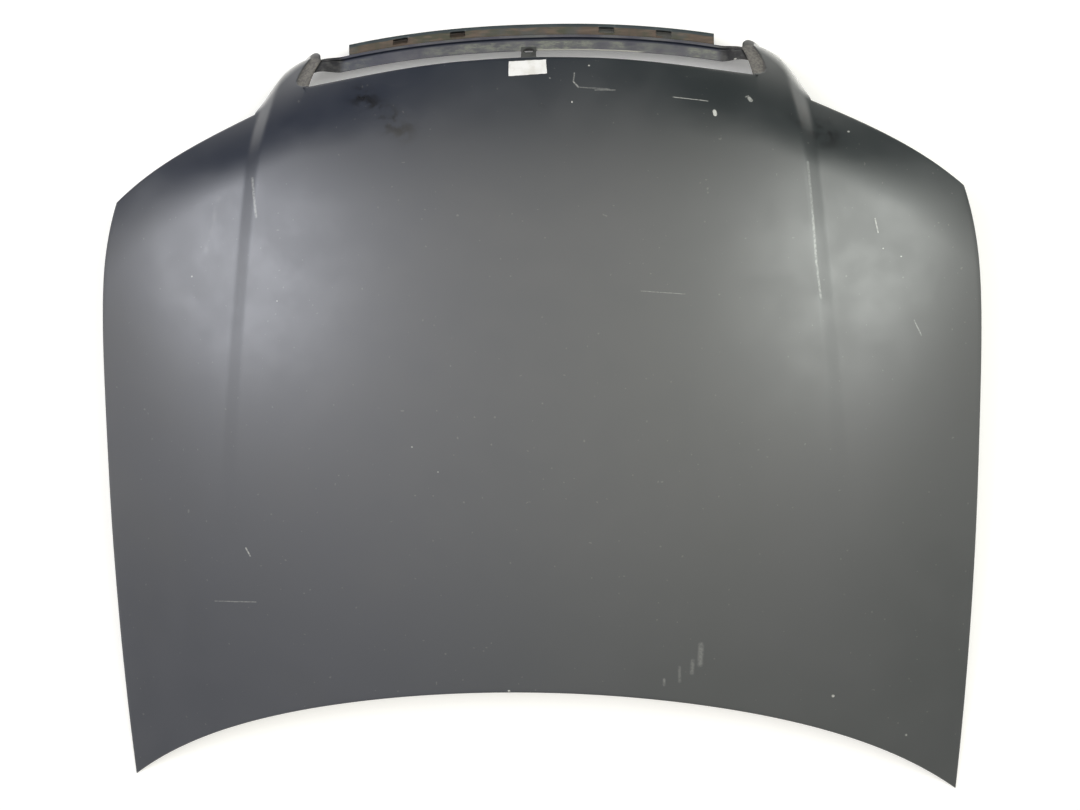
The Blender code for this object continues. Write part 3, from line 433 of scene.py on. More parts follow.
class Shader:
    """A short way to write a material's nodes."""

    def __init__(self, owner):
        owner.use_nodes = True
        self.owner = owner
        self.tree = owner.node_tree
        self.surface = self.tree.nodes.get("Principled BSDF")

    def node(self, kind, **settings):
        made = self.tree.nodes.new("ShaderNode" + kind)
        for key, value in settings.items():
            setattr(made, key, value)
        return made

    def feed(self, socket, value):
        if isinstance(value, bpy.types.NodeSocket):
            self.tree.links.new(value, socket)
        else:
            socket.default_value = value

    def math(self, operation, *values, clamp=False):
        made = self.node("Math", operation=operation, use_clamp=clamp)
        for socket, value in zip(made.inputs, values):
            self.feed(socket, value)
        return made.outputs[0]

    def times(self, first, second):
        return self.math("MULTIPLY", first, second)

    def ramp(self, value, low, high, start=0.0, end=1.0):
        """A smooth step: start below low, end above high."""
        made = self.node("MapRange", interpolation_type="SMOOTHSTEP")
        for socket, item in zip(made.inputs, (value, low, high, start, end)):
            self.feed(socket, item)
        return made.outputs[0]

    def mix(self, share, first, second):
        made = self.node("Mix", data_type="RGBA")
        self.feed(made.inputs["Factor"], share)
        self.feed(made.inputs["A"], opaque(first))
        self.feed(made.inputs["B"], opaque(second))
        return made.outputs["Result"]

    def place(self):
        return self.node("TexCoord").outputs["Object"]

    def vector(self, operation, *values):
        made = self.node("VectorMath", operation=operation)
        for socket, value in zip(made.inputs, values):
            self.feed(socket, value)
        return made.outputs["Value" if operation in ("DOT_PRODUCT", "LENGTH") else "Vector"]

    def axes(self, vector):
        made = self.node("SeparateXYZ")
        self.feed(made.inputs[0], vector)
        return made.outputs[0], made.outputs[1], made.outputs[2]

    def noise(self, vector, scale, detail=3.0, roughness=0.55, stretch=None):
        if stretch:
            mapping = self.node("Mapping")
            self.feed(mapping.inputs["Vector"], vector)
            mapping.inputs["Scale"].default_value = stretch
            vector = mapping.outputs[0]
        made = self.node("TexNoise")
        self.feed(made.inputs["Vector"], vector)
        made.inputs["Scale"].default_value = scale
        made.inputs["Detail"].default_value = detail
        made.inputs["Roughness"].default_value = roughness
        return made.outputs["Fac"]

    def attribute(self, name):
        return self.node("Attribute", attribute_name=name).outputs["Fac"]

    def band(self, value, middle, half, blur):
        """1 within half of the middle, and a smooth fall to 0 over the blur on both sides."""
        away = self.math("ABSOLUTE", self.math("SUBTRACT", value, middle))
        return self.ramp(away, half, half + blur, 1.0, 0.0)

    def stroke(self, place, start, end, half, blur):
        """1 within half of the plan line from start to end, and a smooth fall to 0 around it."""
        along = (end[0] - start[0], end[1] - start[1], 0.0)
        from_start = self.vector("SUBTRACT", place, (*start, 0.0))
        length = along[0] ** 2 + along[1] ** 2
        run = self.math("DIVIDE", self.vector("DOT_PRODUCT", from_start, along), length, clamp=True)
        nearest = self.node("VectorMath", operation="SCALE")
        nearest.inputs[0].default_value = along
        self.feed(nearest.inputs["Scale"], run)
        away = self.vector("LENGTH", self.vector("SUBTRACT", from_start, nearest.outputs[0]))
        return self.ramp(away, half, half + blur, 1.0, 0.0)

    def strokes(self, place, marks):
        """The strongest of many strokes: each mark is (start, end, half width, blur, strength)."""
        total = None
        for start, end, half, blur, strength in marks:
            made = self.times(self.stroke(place, start, end, half, blur), strength)
            total = made if total is None else self.math("MAXIMUM", total, made)
        return total

    def bump(self, height, distance, strength=1.0):
        made = self.node("Bump")
        made.inputs["Strength"].default_value = strength
        made.inputs["Distance"].default_value = distance
        self.feed(made.inputs["Height"], height)
        self.feed(self.surface.inputs["Normal"], made.outputs[0])

    def finish(self, color, roughness, metallic=0.0):
        self.feed(self.surface.inputs["Base Color"], opaque(color))
        self.feed(self.surface.inputs["Roughness"], roughness)
        self.feed(self.surface.inputs["Metallic"], metallic)
        return self.owner


def material_shader(name):
    return Shader(bpy.data.materials.new(name))


# Materials

# Bluer on the left half and greyer on the right half: a painted reflection tint
PAINT_LEFT = (0.016, 0.022, 0.040)
PAINT_RIGHT = (0.019, 0.026, 0.028)
PAINT_HAZE = (0.034, 0.038, 0.046)
PAINT_IOR = 2.03
GRAIN_COLOR = (0.018, 0.020, 0.026)
DARK_COLOR = (0.012, 0.012, 0.013)
# Pale along the right crease: partly rubbed paint, partly a painted highlight
RUB_AND_HIGHLIGHT_COLOR = (0.42, 0.44, 0.42)
PALE_COLOR = (0.62, 0.63, 0.60)
SPECK_COLOR = (0.30, 0.30, 0.28)
# Nearly white along the horn's outer roll: partly rubbed paint, partly a painted highlight
RIM_RUB_AND_HIGHLIGHT_COLOR = (0.80, 0.80, 0.79)
REBATE_DARK = (0.075, 0.070, 0.068)
REBATE_LIGHT = (0.155, 0.145, 0.130)
REBATE_FLECK = (0.34, 0.33, 0.28)
# Near black on the rebate's step wall: painted shade in the groove
REBATE_GROOVE_SHADE = (0.020, 0.020, 0.020)

# Wear on the outer side, and along the right crease rubbed paint with a painted highlight, as (start,
# end, half width, blur, strength) on the imported model's plan
PALE_MARKS = (
    ((0.2266, 0.4721), (0.2801, 0.4652), 0.0003, 0.0007, 0.60),
    ((0.2893, 0.4478), (0.2902, 0.4428), 0.0026, 0.0006, 1.6),
    ((0.3440, 0.4700), (0.3462, 0.4668), 0.0024, 0.0012, 0.6),
    ((0.3385, 0.4725), (0.3430, 0.4745), 0.0004, 0.0008, 0.6),
    ((0.0714, 0.4663), (0.0714, 0.4673), 0.0007, 0.0007, 0.9),
    ((0.1070, 0.4856), (0.1377, 0.4849), 0.0004, 0.0009, 0.3),
    ((0.0753, 0.5151), (0.0736, 0.5003), 0.0005, 0.0010, 0.50),
    ((0.0736, 0.5003), (0.0812, 0.4909), 0.0005, 0.0012, 0.55),
    ((0.0812, 0.4909), (0.1285, 0.4867), 0.0003, 0.0012, 0.20),
    ((0.0976, 0.5267), (0.0982, 0.5267), 0.0008, 0.0006, 0.8),
    ((0.0371, 0.5075), (0.0377, 0.5075), 0.0007, 0.0006, 0.7),
    ((0.1743, 0.1719), (0.2407, 0.1666), 0.0002, 0.0006, 0.30),
    ((0.5325, 0.2812), (0.5370, 0.2599), 0.0005, 0.0008, 0.7),
    ((0.5446, 0.2357), (0.5450, 0.2357), 0.0007, 0.0006, 0.7),
    ((0.5730, 0.2238), (0.5734, 0.2238), 0.0008, 0.0006, 0.8),
    ((0.5947, 0.1265), (0.6063, 0.1037), 0.0004, 0.0010, 0.4),
    ((-0.5377, 0.2093), (-0.5373, 0.2093), 0.0009, 0.0007, 0.8),
    ((-0.3926, 0.1656), (-0.3922, 0.1656), 0.0007, 0.0006, 0.7),
    ((-0.5153, -0.3157), (-0.4430, -0.3144), 0.0003, 0.0008, 0.30),
    ((-0.4560, -0.2262), (-0.4497, -0.2391), 0.0006, 0.0009, 0.6),
    ((-0.1798, -0.0638), (-0.1794, -0.0638), 0.0008, 0.0007, 0.6),
    ((-0.1397, -0.1027), (-0.1393, -0.1027), 0.0007, 0.0006, 0.5),
    ((0.2662, -0.3750), (0.2650, -0.4060), 0.0012, 0.0050, 0.17),
    ((0.2535, -0.4010), (0.2522, -0.4200), 0.0008, 0.0040, 0.14),
    ((0.2330, -0.4110), (0.2335, -0.4340), 0.0006, 0.0030, 0.12),
    ((0.2092, -0.4310), (0.2094, -0.4400), 0.0008, 0.0020, 0.20),
    ((0.4756, -0.4619), (0.4760, -0.4619), 0.0016, 0.0012, 0.75),
    ((0.5995, -0.5339), (0.5999, -0.5339), 0.0012, 0.0010, 0.6),
    ((-0.0352, -0.4516), (-0.0340, -0.4516), 0.0010, 0.0008, 0.9),
    ((0.4980, 0.4201), (0.4988, 0.4201), 0.0010, 0.0010, 0.6),
    ((-0.4334, 0.3607), (-0.4262, 0.2985), 0.0008, 0.0022, 0.30),
)
DARK_MARKS = (
    ((-0.2632, 0.4914), (-0.2280, 0.4560), 0.0010, 0.0300, 0.80),
    ((-0.2280, 0.4560), (-0.1914, 0.4289), 0.0010, 0.0300, 0.90),
    ((0.4222, 0.4520), (0.4656, 0.4104), 0.0010, 0.0340, 0.70),
    ((-0.4902, 0.3314), (-0.5126, 0.2512), 0.0006, 0.0060, 0.35),
    ((-0.1286, -0.4470), (-0.1250, -0.4430), 0.0006, 0.0050, 0.55),
    ((0.0220, 0.4632), (0.0300, 0.4600), 0.0004, 0.0040, 0.25),
    ((-0.0555, 0.4491), (-0.0500, 0.4520), 0.0004, 0.0040, 0.25),
)
# Along the right crease: partly rubbed paint, partly a painted highlight
CREASE_RUBS_AND_HIGHLIGHTS = (
    ((0.4290, 0.3664), (0.4349, 0.2898), 0.0007, 0.0022, 0.34),
    ((0.4349, 0.2898), (0.4400, 0.2140), 0.0007, 0.0020, 0.62),
    ((0.4400, 0.2140), (0.4469, 0.1595), 0.0006, 0.0018, 0.5),
)


def outer_paint():
    paint = material_shader("outer_paint")
    place = paint.place()
    x, _, _ = paint.axes(place)
    plan = paint.vector("MULTIPLY", place, (1.0, 1.0, 0.0))
    wander = paint.vector("MULTIPLY", paint.noise(place, 90.0, 2.0), (0.0012, 0.0012, 0.0))
    plan = paint.vector("SUBTRACT", paint.vector("ADD", plan, wander), (0.0006, 0.0006, 0.0))
    # Painted reflection tint: bluer towards the left, greyer towards the right
    tint = paint.mix(paint.ramp(x, -0.35, 0.35), PAINT_LEFT, PAINT_RIGHT)
    haze = paint.noise(place, 3.2, 4.0)
    color = paint.mix(paint.ramp(haze, 0.45, 0.75, 0.0, 0.4), tint, PAINT_HAZE)
    grain = paint.noise(place, 420.0, 2.0)
    color = paint.mix(paint.ramp(grain, 0.3, 0.7, 0.0, 0.12), color, GRAIN_COLOR)
    blotches = paint.ramp(paint.noise(place, 55.0, 4.0), 0.42, 0.62)
    dark = paint.times(paint.strokes(plan, DARK_MARKS), blotches)
    color = paint.mix(dark, color, DARK_COLOR)
    patchy = paint.ramp(paint.noise(place, 260.0, 3.0), 0.34, 0.60, 0.35, 1.0)
    # Pale lines along the crease: partly rubbed paint, partly a painted highlight
    rub_and_highlight = paint.times(paint.strokes(plan, CREASE_RUBS_AND_HIGHLIGHTS), patchy)
    color = paint.mix(rub_and_highlight, color, RUB_AND_HIGHLIGHT_COLOR)
    pale = paint.times(paint.strokes(plan, PALE_MARKS), patchy)
    color = paint.mix(pale, color, PALE_COLOR)
    specks = paint.ramp(paint.noise(place, 190.0, 0.0), 0.835, 0.86, 0.0, 0.22)
    color = paint.mix(specks, color, SPECK_COLOR)
    share = paint.attribute("mark")
    mark = paint.math("MAXIMUM", share, 0.0)
    # Horn's outer roll, nearly white in patches: partly rubbed paint, partly a painted highlight
    rim = paint.math("MAXIMUM", paint.times(share, -1.0), 0.0)
    worn_and_highlight = paint.ramp(patchy, 0.3, 1.0, 0.78, 0.92)
    color = paint.mix(paint.times(paint.math("POWER", rim, 1.2), worn_and_highlight), color, RIM_RUB_AND_HIGHLIGHT_COLOR)
    patch = paint.noise(place, 210.0, 3.0)
    flecks = paint.ramp(paint.noise(place, 480.0, 2.0), 0.60, 0.72, 0.0, 0.7)
    bare = paint.mix(paint.ramp(patch, 0.36, 0.62), REBATE_DARK, REBATE_LIGHT)
    bare = paint.mix(flecks, bare, REBATE_FLECK)
    color = paint.mix(mark, color, bare)
    # Near black on the rebate's step wall: painted shade
    groove_shade = paint.band(mark, 0.42, 0.22, 0.16)
    color = paint.mix(paint.times(groove_shade, 0.85), color, REBATE_GROOVE_SHADE)
    roughness = paint.ramp(paint.noise(place, 14.0, 4.0), 0.3, 0.7, 0.35, 0.41)
    roughness = paint.math("SUBTRACT", roughness, paint.times(dark, 0.10))
    roughness = paint.math("SUBTRACT", roughness, paint.ramp(rim, 0.05, 0.6, 0.0, 0.12))
    roughness = paint.math("ADD", roughness, paint.times(mark, 0.26))
    paint.surface.inputs["IOR"].default_value = PAINT_IOR
    height = paint.math("ADD", grain, paint.times(paint.times(patch, mark), 16.0))
    paint.bump(height, 0.00003)
    return paint.finish(color, roughness)


def plain_paint(name, color, roughness=0.5, metallic=0.0, dust=0.1):
    """Paint with a cloud of dust, a fine grain and a few small specks."""
    paint = material_shader(name)
    place = paint.place()
    cloud = paint.noise(place, 24.0, 4.0)
    shade = paint.mix(paint.ramp(cloud, 0.35, 0.75, 0.0, dust * 3.0), color,
                      tuple(min(channel * 1.7 + 0.02, 1.0) for channel in color))
    specks = paint.ramp(paint.noise(place, 230.0, 1.0), 0.76, 0.80, 0.0, 0.5)
    shade = paint.mix(specks, shade, tuple(channel * 0.5 for channel in color))
    grain = paint.noise(place, 500.0, 2.0)
    rough = paint.ramp(cloud, 0.3, 0.7, roughness - 0.05, roughness + 0.06)
    paint.bump(grain, 0.00004)
    return paint.finish(shade, rough, metallic)


# Pale sealant lumps along the nose bar's face, as (start, end, strength) across the bonnet
SEALANT_PATCHES = (
    (-0.170, -0.125, 0.45), (-0.118, -0.012, 0.75), (0.006, 0.050, 0.9), (0.058, 0.080, 0.95),
    (0.090, 0.106, 0.85), (0.140, 0.152, 0.8), (0.180, 0.200, 0.4), (0.266, 0.275, 0.95),
    (0.290, 0.300, 0.9), (-0.305, -0.270, 0.4),
)

# Bare weld spots at the bar's ends, written as the marks above
WELD_SPOTS = (((-0.3290, 0.5521), (-0.3282, 0.5521), 0.0010, 0.0008, 0.9),
              ((0.3330, 0.5541), (0.3336, 0.5541), 0.0012, 0.0008, 0.8))


def along_bar(paint, place):
    """Sockets of the distance across the bonnet and of the distance ahead of the nose line."""
    x, y, _ = paint.axes(place)
    across = paint.math("DIVIDE", paint.math("ABSOLUTE", x), OPENING_HALF)
    sweep = paint.math("POWER", across, NOSE_CURVE)
    line = paint.math("SUBTRACT", NOSE_Y - REAR_SHIFT, paint.times(sweep, NOSE_SWEEP))
    return x, paint.math("SUBTRACT", y, line)


def bar_paint():
    paint = material_shader("bar_paint")
    place = paint.place()
    x, ahead = along_bar(paint, place)
    across = paint.math("ABSOLUTE", x)
    cloud = paint.noise(place, 34.0, 4.0)
    color = paint.mix(paint.ramp(cloud, 0.35, 0.7), (0.085, 0.085, 0.105), (0.125, 0.125, 0.14))
    streak = paint.noise(place, 60.0, 4.0, stretch=(0.35, 1.6, 1.0))
    color = paint.mix(paint.ramp(streak, 0.48, 0.70, 0.0, 0.6), color, (0.150, 0.160, 0.150))
    color = paint.mix(paint.ramp(x, -0.30, -0.15, 0.55, 0.0), color, (0.060, 0.066, 0.100))
    sealed = None
    for start, end, strength in SEALANT_PATCHES:
        patch = paint.band(x, (start + end) / 2, (end - start) / 2, 0.012)
        patch = paint.times(patch, strength)
        sealed = patch if sealed is None else paint.math("MAXIMUM", sealed, patch)
    lumps = paint.noise(place, 95.0, 5.0, 0.7, stretch=(0.55, 1.3, 1.0))
    sealed = paint.times(sealed, paint.ramp(lumps, 0.42, 0.66, 0.15, 1.0))
    sealed = paint.times(sealed, paint.band(ahead, 0.0085, 0.0065, 0.002))
    color = paint.mix(sealed, color, (0.235, 0.25, 0.205))
    rear_lip = paint.band(ahead, 0.0004, 0.0009, 0.0009)
    rear_lip = paint.times(rear_lip, paint.band(x, 0.085, 0.09, 0.02))
    rear_lip = paint.times(rear_lip, paint.ramp(across, 0.012, 0.016))
    color = paint.mix(paint.times(rear_lip, 0.8), color, (0.55, 0.54, 0.48))
    # Near black on the bar just below the strut: a painted shadow
    strut_shadow = paint.ramp(ahead, 0.003, 0.005, 1.0, 0.0)
    strut_shadow = paint.times(paint.band(x, 0.0, 0.008, 0.002), strut_shadow)
    color = paint.mix(strut_shadow, color, (0.008, 0.008, 0.009))
    # Dark navy in the bar's groove: painted shade
    groove_shade = paint.times(paint.band(ahead, BAR_FACE + 0.0025, 0.0020, 0.0010), 0.9)
    color = paint.mix(groove_shade, color, (0.018, 0.024, 0.045))
    bar_end = paint.ramp(across, 0.306, 0.318)
    blotches = paint.ramp(paint.noise(place, 70.0, 4.0), 0.45, 0.70)
    blotches = paint.mix(blotches, (0.022, 0.022, 0.024), (0.080, 0.080, 0.078))
    color = paint.mix(paint.times(bar_end, 0.9), color, blotches)
    welds = paint.strokes(paint.vector("MULTIPLY", place, (1.0, 1.0, 0.0)), WELD_SPOTS)
    color = paint.mix(welds, color, (0.62, 0.62, 0.58))
    on_flange = paint.ramp(ahead, WALL_FOOT - 0.002, WALL_FOOT)
    flange = paint.mix(paint.ramp(x, -0.05, 0.05), (0.16, 0.115, 0.085), (0.30, 0.30, 0.28))
    color = paint.mix(on_flange, color, flange)
    grain = paint.noise(place, 300.0, 3.0)
    paint.bump(paint.math("ADD", grain, paint.times(sealed, 4.0)), 0.00012)
    return paint.finish(color, paint.ramp(sealed, 0.0, 1.0, 0.42, 0.62))


def carrier_plastic():
    """Dark moulded strip under the torn rest of an adhesive band in browns and olive greys."""
    paint = material_shader("carrier_plastic")
    place = paint.place()
    _, ahead = along_bar(paint, place)
    long = paint.noise(place, 26.0, 3.0, stretch=(1.0, 0.2, 0.2))
    fibres = paint.noise(place, 150.0, 4.0, stretch=(0.25, 1.5, 1.0))
    band = paint.mix(paint.ramp(long, 0.40, 0.58), (0.105, 0.078, 0.060), (0.070, 0.072, 0.050))
    grey = paint.ramp(paint.noise(place, 17.0, 2.0), 0.50, 0.60, 0.0, 0.8)
    band = paint.mix(grey, band, (0.085, 0.087, 0.085))
    band = paint.mix(paint.ramp(fibres, 0.44, 0.66, 0.0, 0.7), band, (0.155, 0.115, 0.088))
    base = paint.mix(paint.ramp(fibres, 0.3, 0.7), (0.028, 0.040, 0.046), (0.045, 0.062, 0.068))
    front = WALL_FOOT + BAR_SHEET + CARRIER_WIDTH
    edge = paint.math("ADD", ahead, paint.times(paint.noise(place, 55.0, 3.0), 0.003))
    covered = paint.ramp(edge, front - 0.0052, front - 0.0040, 1.0, 0.0)
    color = paint.mix(covered, base, band)
    # Darker towards the rear edge, at the foot of the bar's raised edge: painted shade
    rear = paint.ramp(ahead, WALL_FOOT + BAR_SHEET, WALL_FOOT + 0.0055, 0.75, 0.0)
    color = paint.mix(rear, color, (0.022, 0.024, 0.026))
    paint.bump(paint.times(fibres, covered), 0.0004)
    return paint.finish(color, paint.ramp(covered, 0.0, 1.0, 0.42, 0.78))


def strut_paint():
    paint = material_shader("strut_paint")
    place = paint.place()
    cloud = paint.noise(place, 70.0, 3.0)
    color = paint.mix(paint.ramp(cloud, 0.35, 0.65), (0.036, 0.039, 0.038), (0.062, 0.066, 0.064))
    # Near black around the strut's hole: painted shade
    from_hole = paint.vector("SUBTRACT", place, (0.0, NOSE_Y - BAR_SLANT - REAR_SHIFT, 0.0))
    from_hole = paint.vector("LENGTH", paint.vector("MULTIPLY", from_hole, (0.55, 1.0, 0.0)))
    color = paint.mix(paint.ramp(from_hole, 0.0042, 0.0060, 0.8, 0.0), color, (0.012, 0.014, 0.014))
    paint.bump(paint.noise(place, 420.0, 2.0), 0.00006)
    return paint.finish(color, 0.5)


def label_paper():
    paper = material_shader("label_paper")
    place = paper.place()
    stain = paper.noise(place, 45.0, 4.0)
    color = paper.mix(paper.ramp(stain, 0.42, 0.72), (0.90, 0.90, 0.90), (0.76, 0.75, 0.72))
    paper.bump(paper.noise(place, 160.0, 4.0), 0.00025)
    return paper.finish(color, 0.72)


def zinc_plate():
    zinc = material_shader("zinc_plate")
    place = zinc.place()
    spangle = zinc.noise(place, 180.0, 2.0)
    color = zinc.mix(zinc.ramp(spangle, 0.35, 0.65), (0.58, 0.56, 0.50), (0.46, 0.44, 0.36))
    rust = zinc.ramp(zinc.noise(place, 60.0, 4.0), 0.60, 0.75, 0.0, 0.6)
    color = zinc.mix(rust, color, (0.20, 0.13, 0.08))
    zinc.bump(spangle, 0.00004)
    return zinc.finish(color, zinc.ramp(spangle, 0.3, 0.7, 0.30, 0.46), 0.9)


# Outer skin


def skin_columns():
    """Columns as in crossing(): those inside the horns, those that climb the horn, and the rest."""
    opening = OPENING_HALF - crease_line(LEADING_Y - OPENING_SWEEP)
    notch = NOTCH_X - crease_line(NOTCH_Y)
    inner = [(share, 0.0, opening * share) for share in steps(OPENING_CELLS)[:-1]]
    offsets = [opening + (REBATE_WIDTH + REBATE_STEP) * share for share in steps(REBATE_CELLS)]
    offsets += [between(offsets[-1], 0.0, share) for share in steps(BROW_CELLS)[1:]]
    offsets += [CREASE_BAND * share for share in steps(CREASE_CELLS)[1:]]
    offsets += [between(CREASE_BAND, notch, share) for share in steps(NOTCH_CELLS)[1:]]
    horn = [(1.0, 0.0, offset) for offset in offsets]
    outer = [(1.0 - share, share, notch * (1.0 - share)) for share in steps(CUT_CELLS)[1:]]
    return inner, horn, outer


def skin_rows():
    """Shares of the way from rear to front, crowded at both ends."""
    return [share - ROW_CROWDING * math.sin(2.0 * math.pi * share) / (2.0 * math.pi)
            for share in steps(SKIN_CELLS)]


def bow(points, share):
    """Point on the smooth curve that the points pull on."""
    while len(points) > 1:
        points = [[between(a, b, share) for a, b in zip(*pair)] for pair in zip(points, points[1:])]
    return points[0]


def into_rebate(x, y):
    """Depth of the rebate at a plan point, as a share: 1 on its floor and 0 outside its wall."""
    inside = False
    nearest = math.inf
    outline = REBATE_EDGE + tuple((REBATE_INNER_X, REBATE_EDGE[end][1]) for end in (-1, 0))
    for start, end in zip(outline, outline[1:] + outline[:1]):
        if (start[1] > y) != (end[1] > y):
            share = (y - start[1]) / (end[1] - start[1])
            if x < between(start[0], end[0], share):
                inside = not inside
    for start, end in zip(REBATE_EDGE, REBATE_EDGE[1:]):
        run = (x - start[0]) * (end[0] - start[0]) + (y - start[1]) * (end[1] - start[1])
        run = min(max(run / math.dist(start, end) ** 2, 0.0), 1.0)
        foot = (between(start[0], end[0], run), between(start[1], end[1], run))
        nearest = min(nearest, math.dist((x, y), foot))
    return ease(nearest / REBATE_WALL) if inside else 0.0


def horn_tip(angle):
    """Plan point on the rounded tip, at an angle in degrees."""
    turn = math.radians(angle)
    x = HORN_TIP[0] + HORN_TIP_RADIUS * math.cos(turn)
    return x, HORN_TIP[1] + HORN_TIP_REACH * math.sin(turn)


def horn_rows():
    """Rows of points from the brow up to the horn's tip, and the mark of each point."""
    offsets = [column[2] for column in skin_columns()[1]]
    start = offsets[0]
    full = REBATE_WIDTH + REBATE_STEP
    corner = (OPENING_HALF, LEADING_Y - OPENING_SWEEP)
    inner_end = (HORN_TIP[0] - HORN_TIP_RADIUS, HORN_TIP[1])
    shoulder = horn_tip(HORN_TIP_ANGLES[1])
    rows = []
    marks = []
    for step in steps(HORN_CELLS)[1:]:
        share = between(step, step ** 2, HORN_CROWDING)
        rolled = ease(step * HORN_ROLL_START)
        inner = bow((corner, HORN_INNER_BOW, inner_end), share)
        outer = bow(((NOTCH_X, NOTCH_Y), HORN_OUTER_LEAD, HORN_OUTER_BOW, shoulder), share)
        width = math.dist(inner, outer)
        rebate = REBATE_WIDTH * (1.0 - REBATE_TAPER * share ** 4)
        roll_width = min(HORN_ROLL_WIDTH, width - rebate - REBATE_STEP)
        row = []
        mark = []
        for offset in offsets:
            run = offset - start
            if run <= full + 1e-6:
                reach = (rebate + REBATE_STEP) * run / full
            else:
                beyond = (run - full) / (offsets[-1] - start - full)
                reach = between(rebate + REBATE_STEP, width, beyond)
            x, y = (between(a, b, reach / width) for a, b in zip(inner, outer))
            depth = into_rebate(x, y)
            to_edge = min((width - reach) / roll_width, 1.0)
            sunk = REBATE_DEPTH * depth + HORN_ROLL * (1.0 - to_edge) ** 2 * rolled
            row.append(on_skin(x, y, sunk))
            # Pale band along the horn's outer edge, kept as a negative mark: partly rubbed paint,
            # partly a painted highlight
            rub_and_highlight = max(1.0 - (width - reach) / HORN_RUB_AND_HIGHLIGHT_WIDTH, 0.0)
            mark.append(depth if depth > 0.0 else -rub_and_highlight * rolled)
        rows.append(row)
        marks.append(mark)
    last_row = rows[-1]
    last_marks = marks[-1]
    tip = [on_skin(*horn_tip(between(*HORN_TIP_ANGLES, share)), HORN_ROLL * ease(share))
           for share in steps(len(offsets) - 1)]
    for share in steps(HORN_TIP_CELLS)[1:]:
        rows.append([point.lerp(end, share) for point, end in zip(last_row, tip)])
        marks.append([mark * (1.0 - share) if mark > 0.0 else mark for mark in last_marks])
    return rows, marks


def build_skin(outer, inner):
    bm = bmesh.new()
    first, horn, last = skin_columns()
    columns = first + horn + last
    rows = [[on_skin(*crossing(column, share)) for column in columns] for share in skin_rows()]
    loft(bm, rows)
    brow = [on_skin(*crossing(column, 1.0)) for column in horn]
    climbing, marks = horn_rows()
    loft(bm, [brow] + climbing, [[0.0] * len(brow)] + marks)
    bmesh.ops.remove_doubles(bm, verts=bm.verts, dist=0.00002)
    bmesh.ops.recalc_face_normals(bm, faces=bm.faces)
    fold_hem(bm)
    skin = new_object("painted_skin", mesh_from(bm, "painted_skin"), outer, inner)
    mirror_and_thicken(skin, SKIN_SHEET)
    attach(skin, "root")
    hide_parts("outer_skin")


# Nose bar, trim carrier and label


def nose_line(x):
    """Rear edge of the nose bar."""
    return NOSE_Y - NOSE_SWEEP * (abs(x) / OPENING_HALF) ** NOSE_CURVE


def face_height(ahead):
    """The bar's face falls slowly over its rear half and more over its front half."""
    rear = min(ahead, BAR_FACE / 2) / (BAR_FACE / 2)
    front = max(ahead - BAR_FACE / 2, 0.0) / (BAR_FACE / 2)
    return BAR_TOP - BAR_FACE_FALL * (FACE_REAR_SHARE * rear + (1.0 - FACE_REAR_SHARE) * front)


def rounded(section, radius, cells=3):
    """Replace each inner corner of an open section by a short curve."""
    points = [section[0]]
    for before, corner, after in zip(section, section[1:], section[2:]):
        ends = []
        for other in (before, after):
            reach = min(radius / math.dist(corner, other), 0.45)
            ends.append(tuple(between(a, b, reach) for a, b in zip(corner, other)))
        points += [bow((ends[0], corner, ends[1]), share) for share in steps(cells)]
    return points + [section[-1]]


def bar_section(x):
    """Upper side of the nose bar from its rear lip to its flange, as (distance ahead, height)."""
    front = BAR_TOP - BAR_FACE_FALL
    low = front - GROOVE_DEPTH
    groove_front = BAR_FACE + GROOVE_WIDTH
    edge_front = groove_front + BAR_SLANT + BAR_EDGE
    face = [(BAR_FACE * share, face_height(BAR_FACE * share)) for share in steps(FACE_CELLS)]
    rim = [(BAR_FACE + BAR_SLANT, low), (groove_front, low), (groove_front + BAR_SLANT, front),
           (edge_front, front - BAR_SLANT)]
    rise = ease((x - BAR_END_START) / BAR_END_RISE)
    section = []
    for ahead, height in face + rim:
        seat = skin_height(x, nose_line(x) + ahead) - REBATE_DEPTH - hem_thickness() - BAR_SEAT
        section.append((ahead, between(height, seat, rise)))
    flange = BAR_FLANGE if x <= CARRIER_HALF else BAR_FLANGE_STUB
    fall = FLANGE_FALL * flange / BAR_FLANGE
    section += [(WALL_FOOT, FLANGE_TOP), (WALL_FOOT + flange, FLANGE_TOP - fall)]
    return section[:FACE_CELLS] + rounded(section[FACE_CELLS:], BAR_ROUNDING)


def sweep(section_at, places):
    """Rows of points along the nose, one for each distance across the bonnet."""
    return [[Vector((x, nose_line(x) + ahead, height)) for ahead, height in section_at(abs(x))]
            for x in places]


def face_up(bm):
    bmesh.ops.recalc_face_normals(bm, faces=bm.faces)
    top = max(bm.faces, key=lambda face: face.calc_center_median().z)
    if top.normal.z < 0.0:
        bmesh.ops.reverse_faces(bm, faces=bm.faces)


def build_bar(material):
    bm = bmesh.new()
    places = [BAR_STEP * step for step in range(BAR_STEPS + 1)]
    places += [CARRIER_HALF, CARRIER_HALF + CARRIER_SHEET]
    places += [between(BAR_END_START, BAR_HALF, share) for share in steps(20)]
    rows = sweep(bar_section, places)
    for row, x in zip(rows, places):
        for index in range(1, FACE_CELLS):
            lump = noise.noise(Vector((x * 120.0, index * 0.9, 3.0)))
            row[index].z += LUMP_RISE * max(lump, 0.0) - LUMP_SINK
    loft(bm, rows)
    face_up(bm)
    bar = new_object("bar_pressing", mesh_from(bm, "bar_pressing", 50.0), material)
    mirror_and_thicken(bar, BAR_SHEET)
    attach(bar, "root")
    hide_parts("nose_bar")


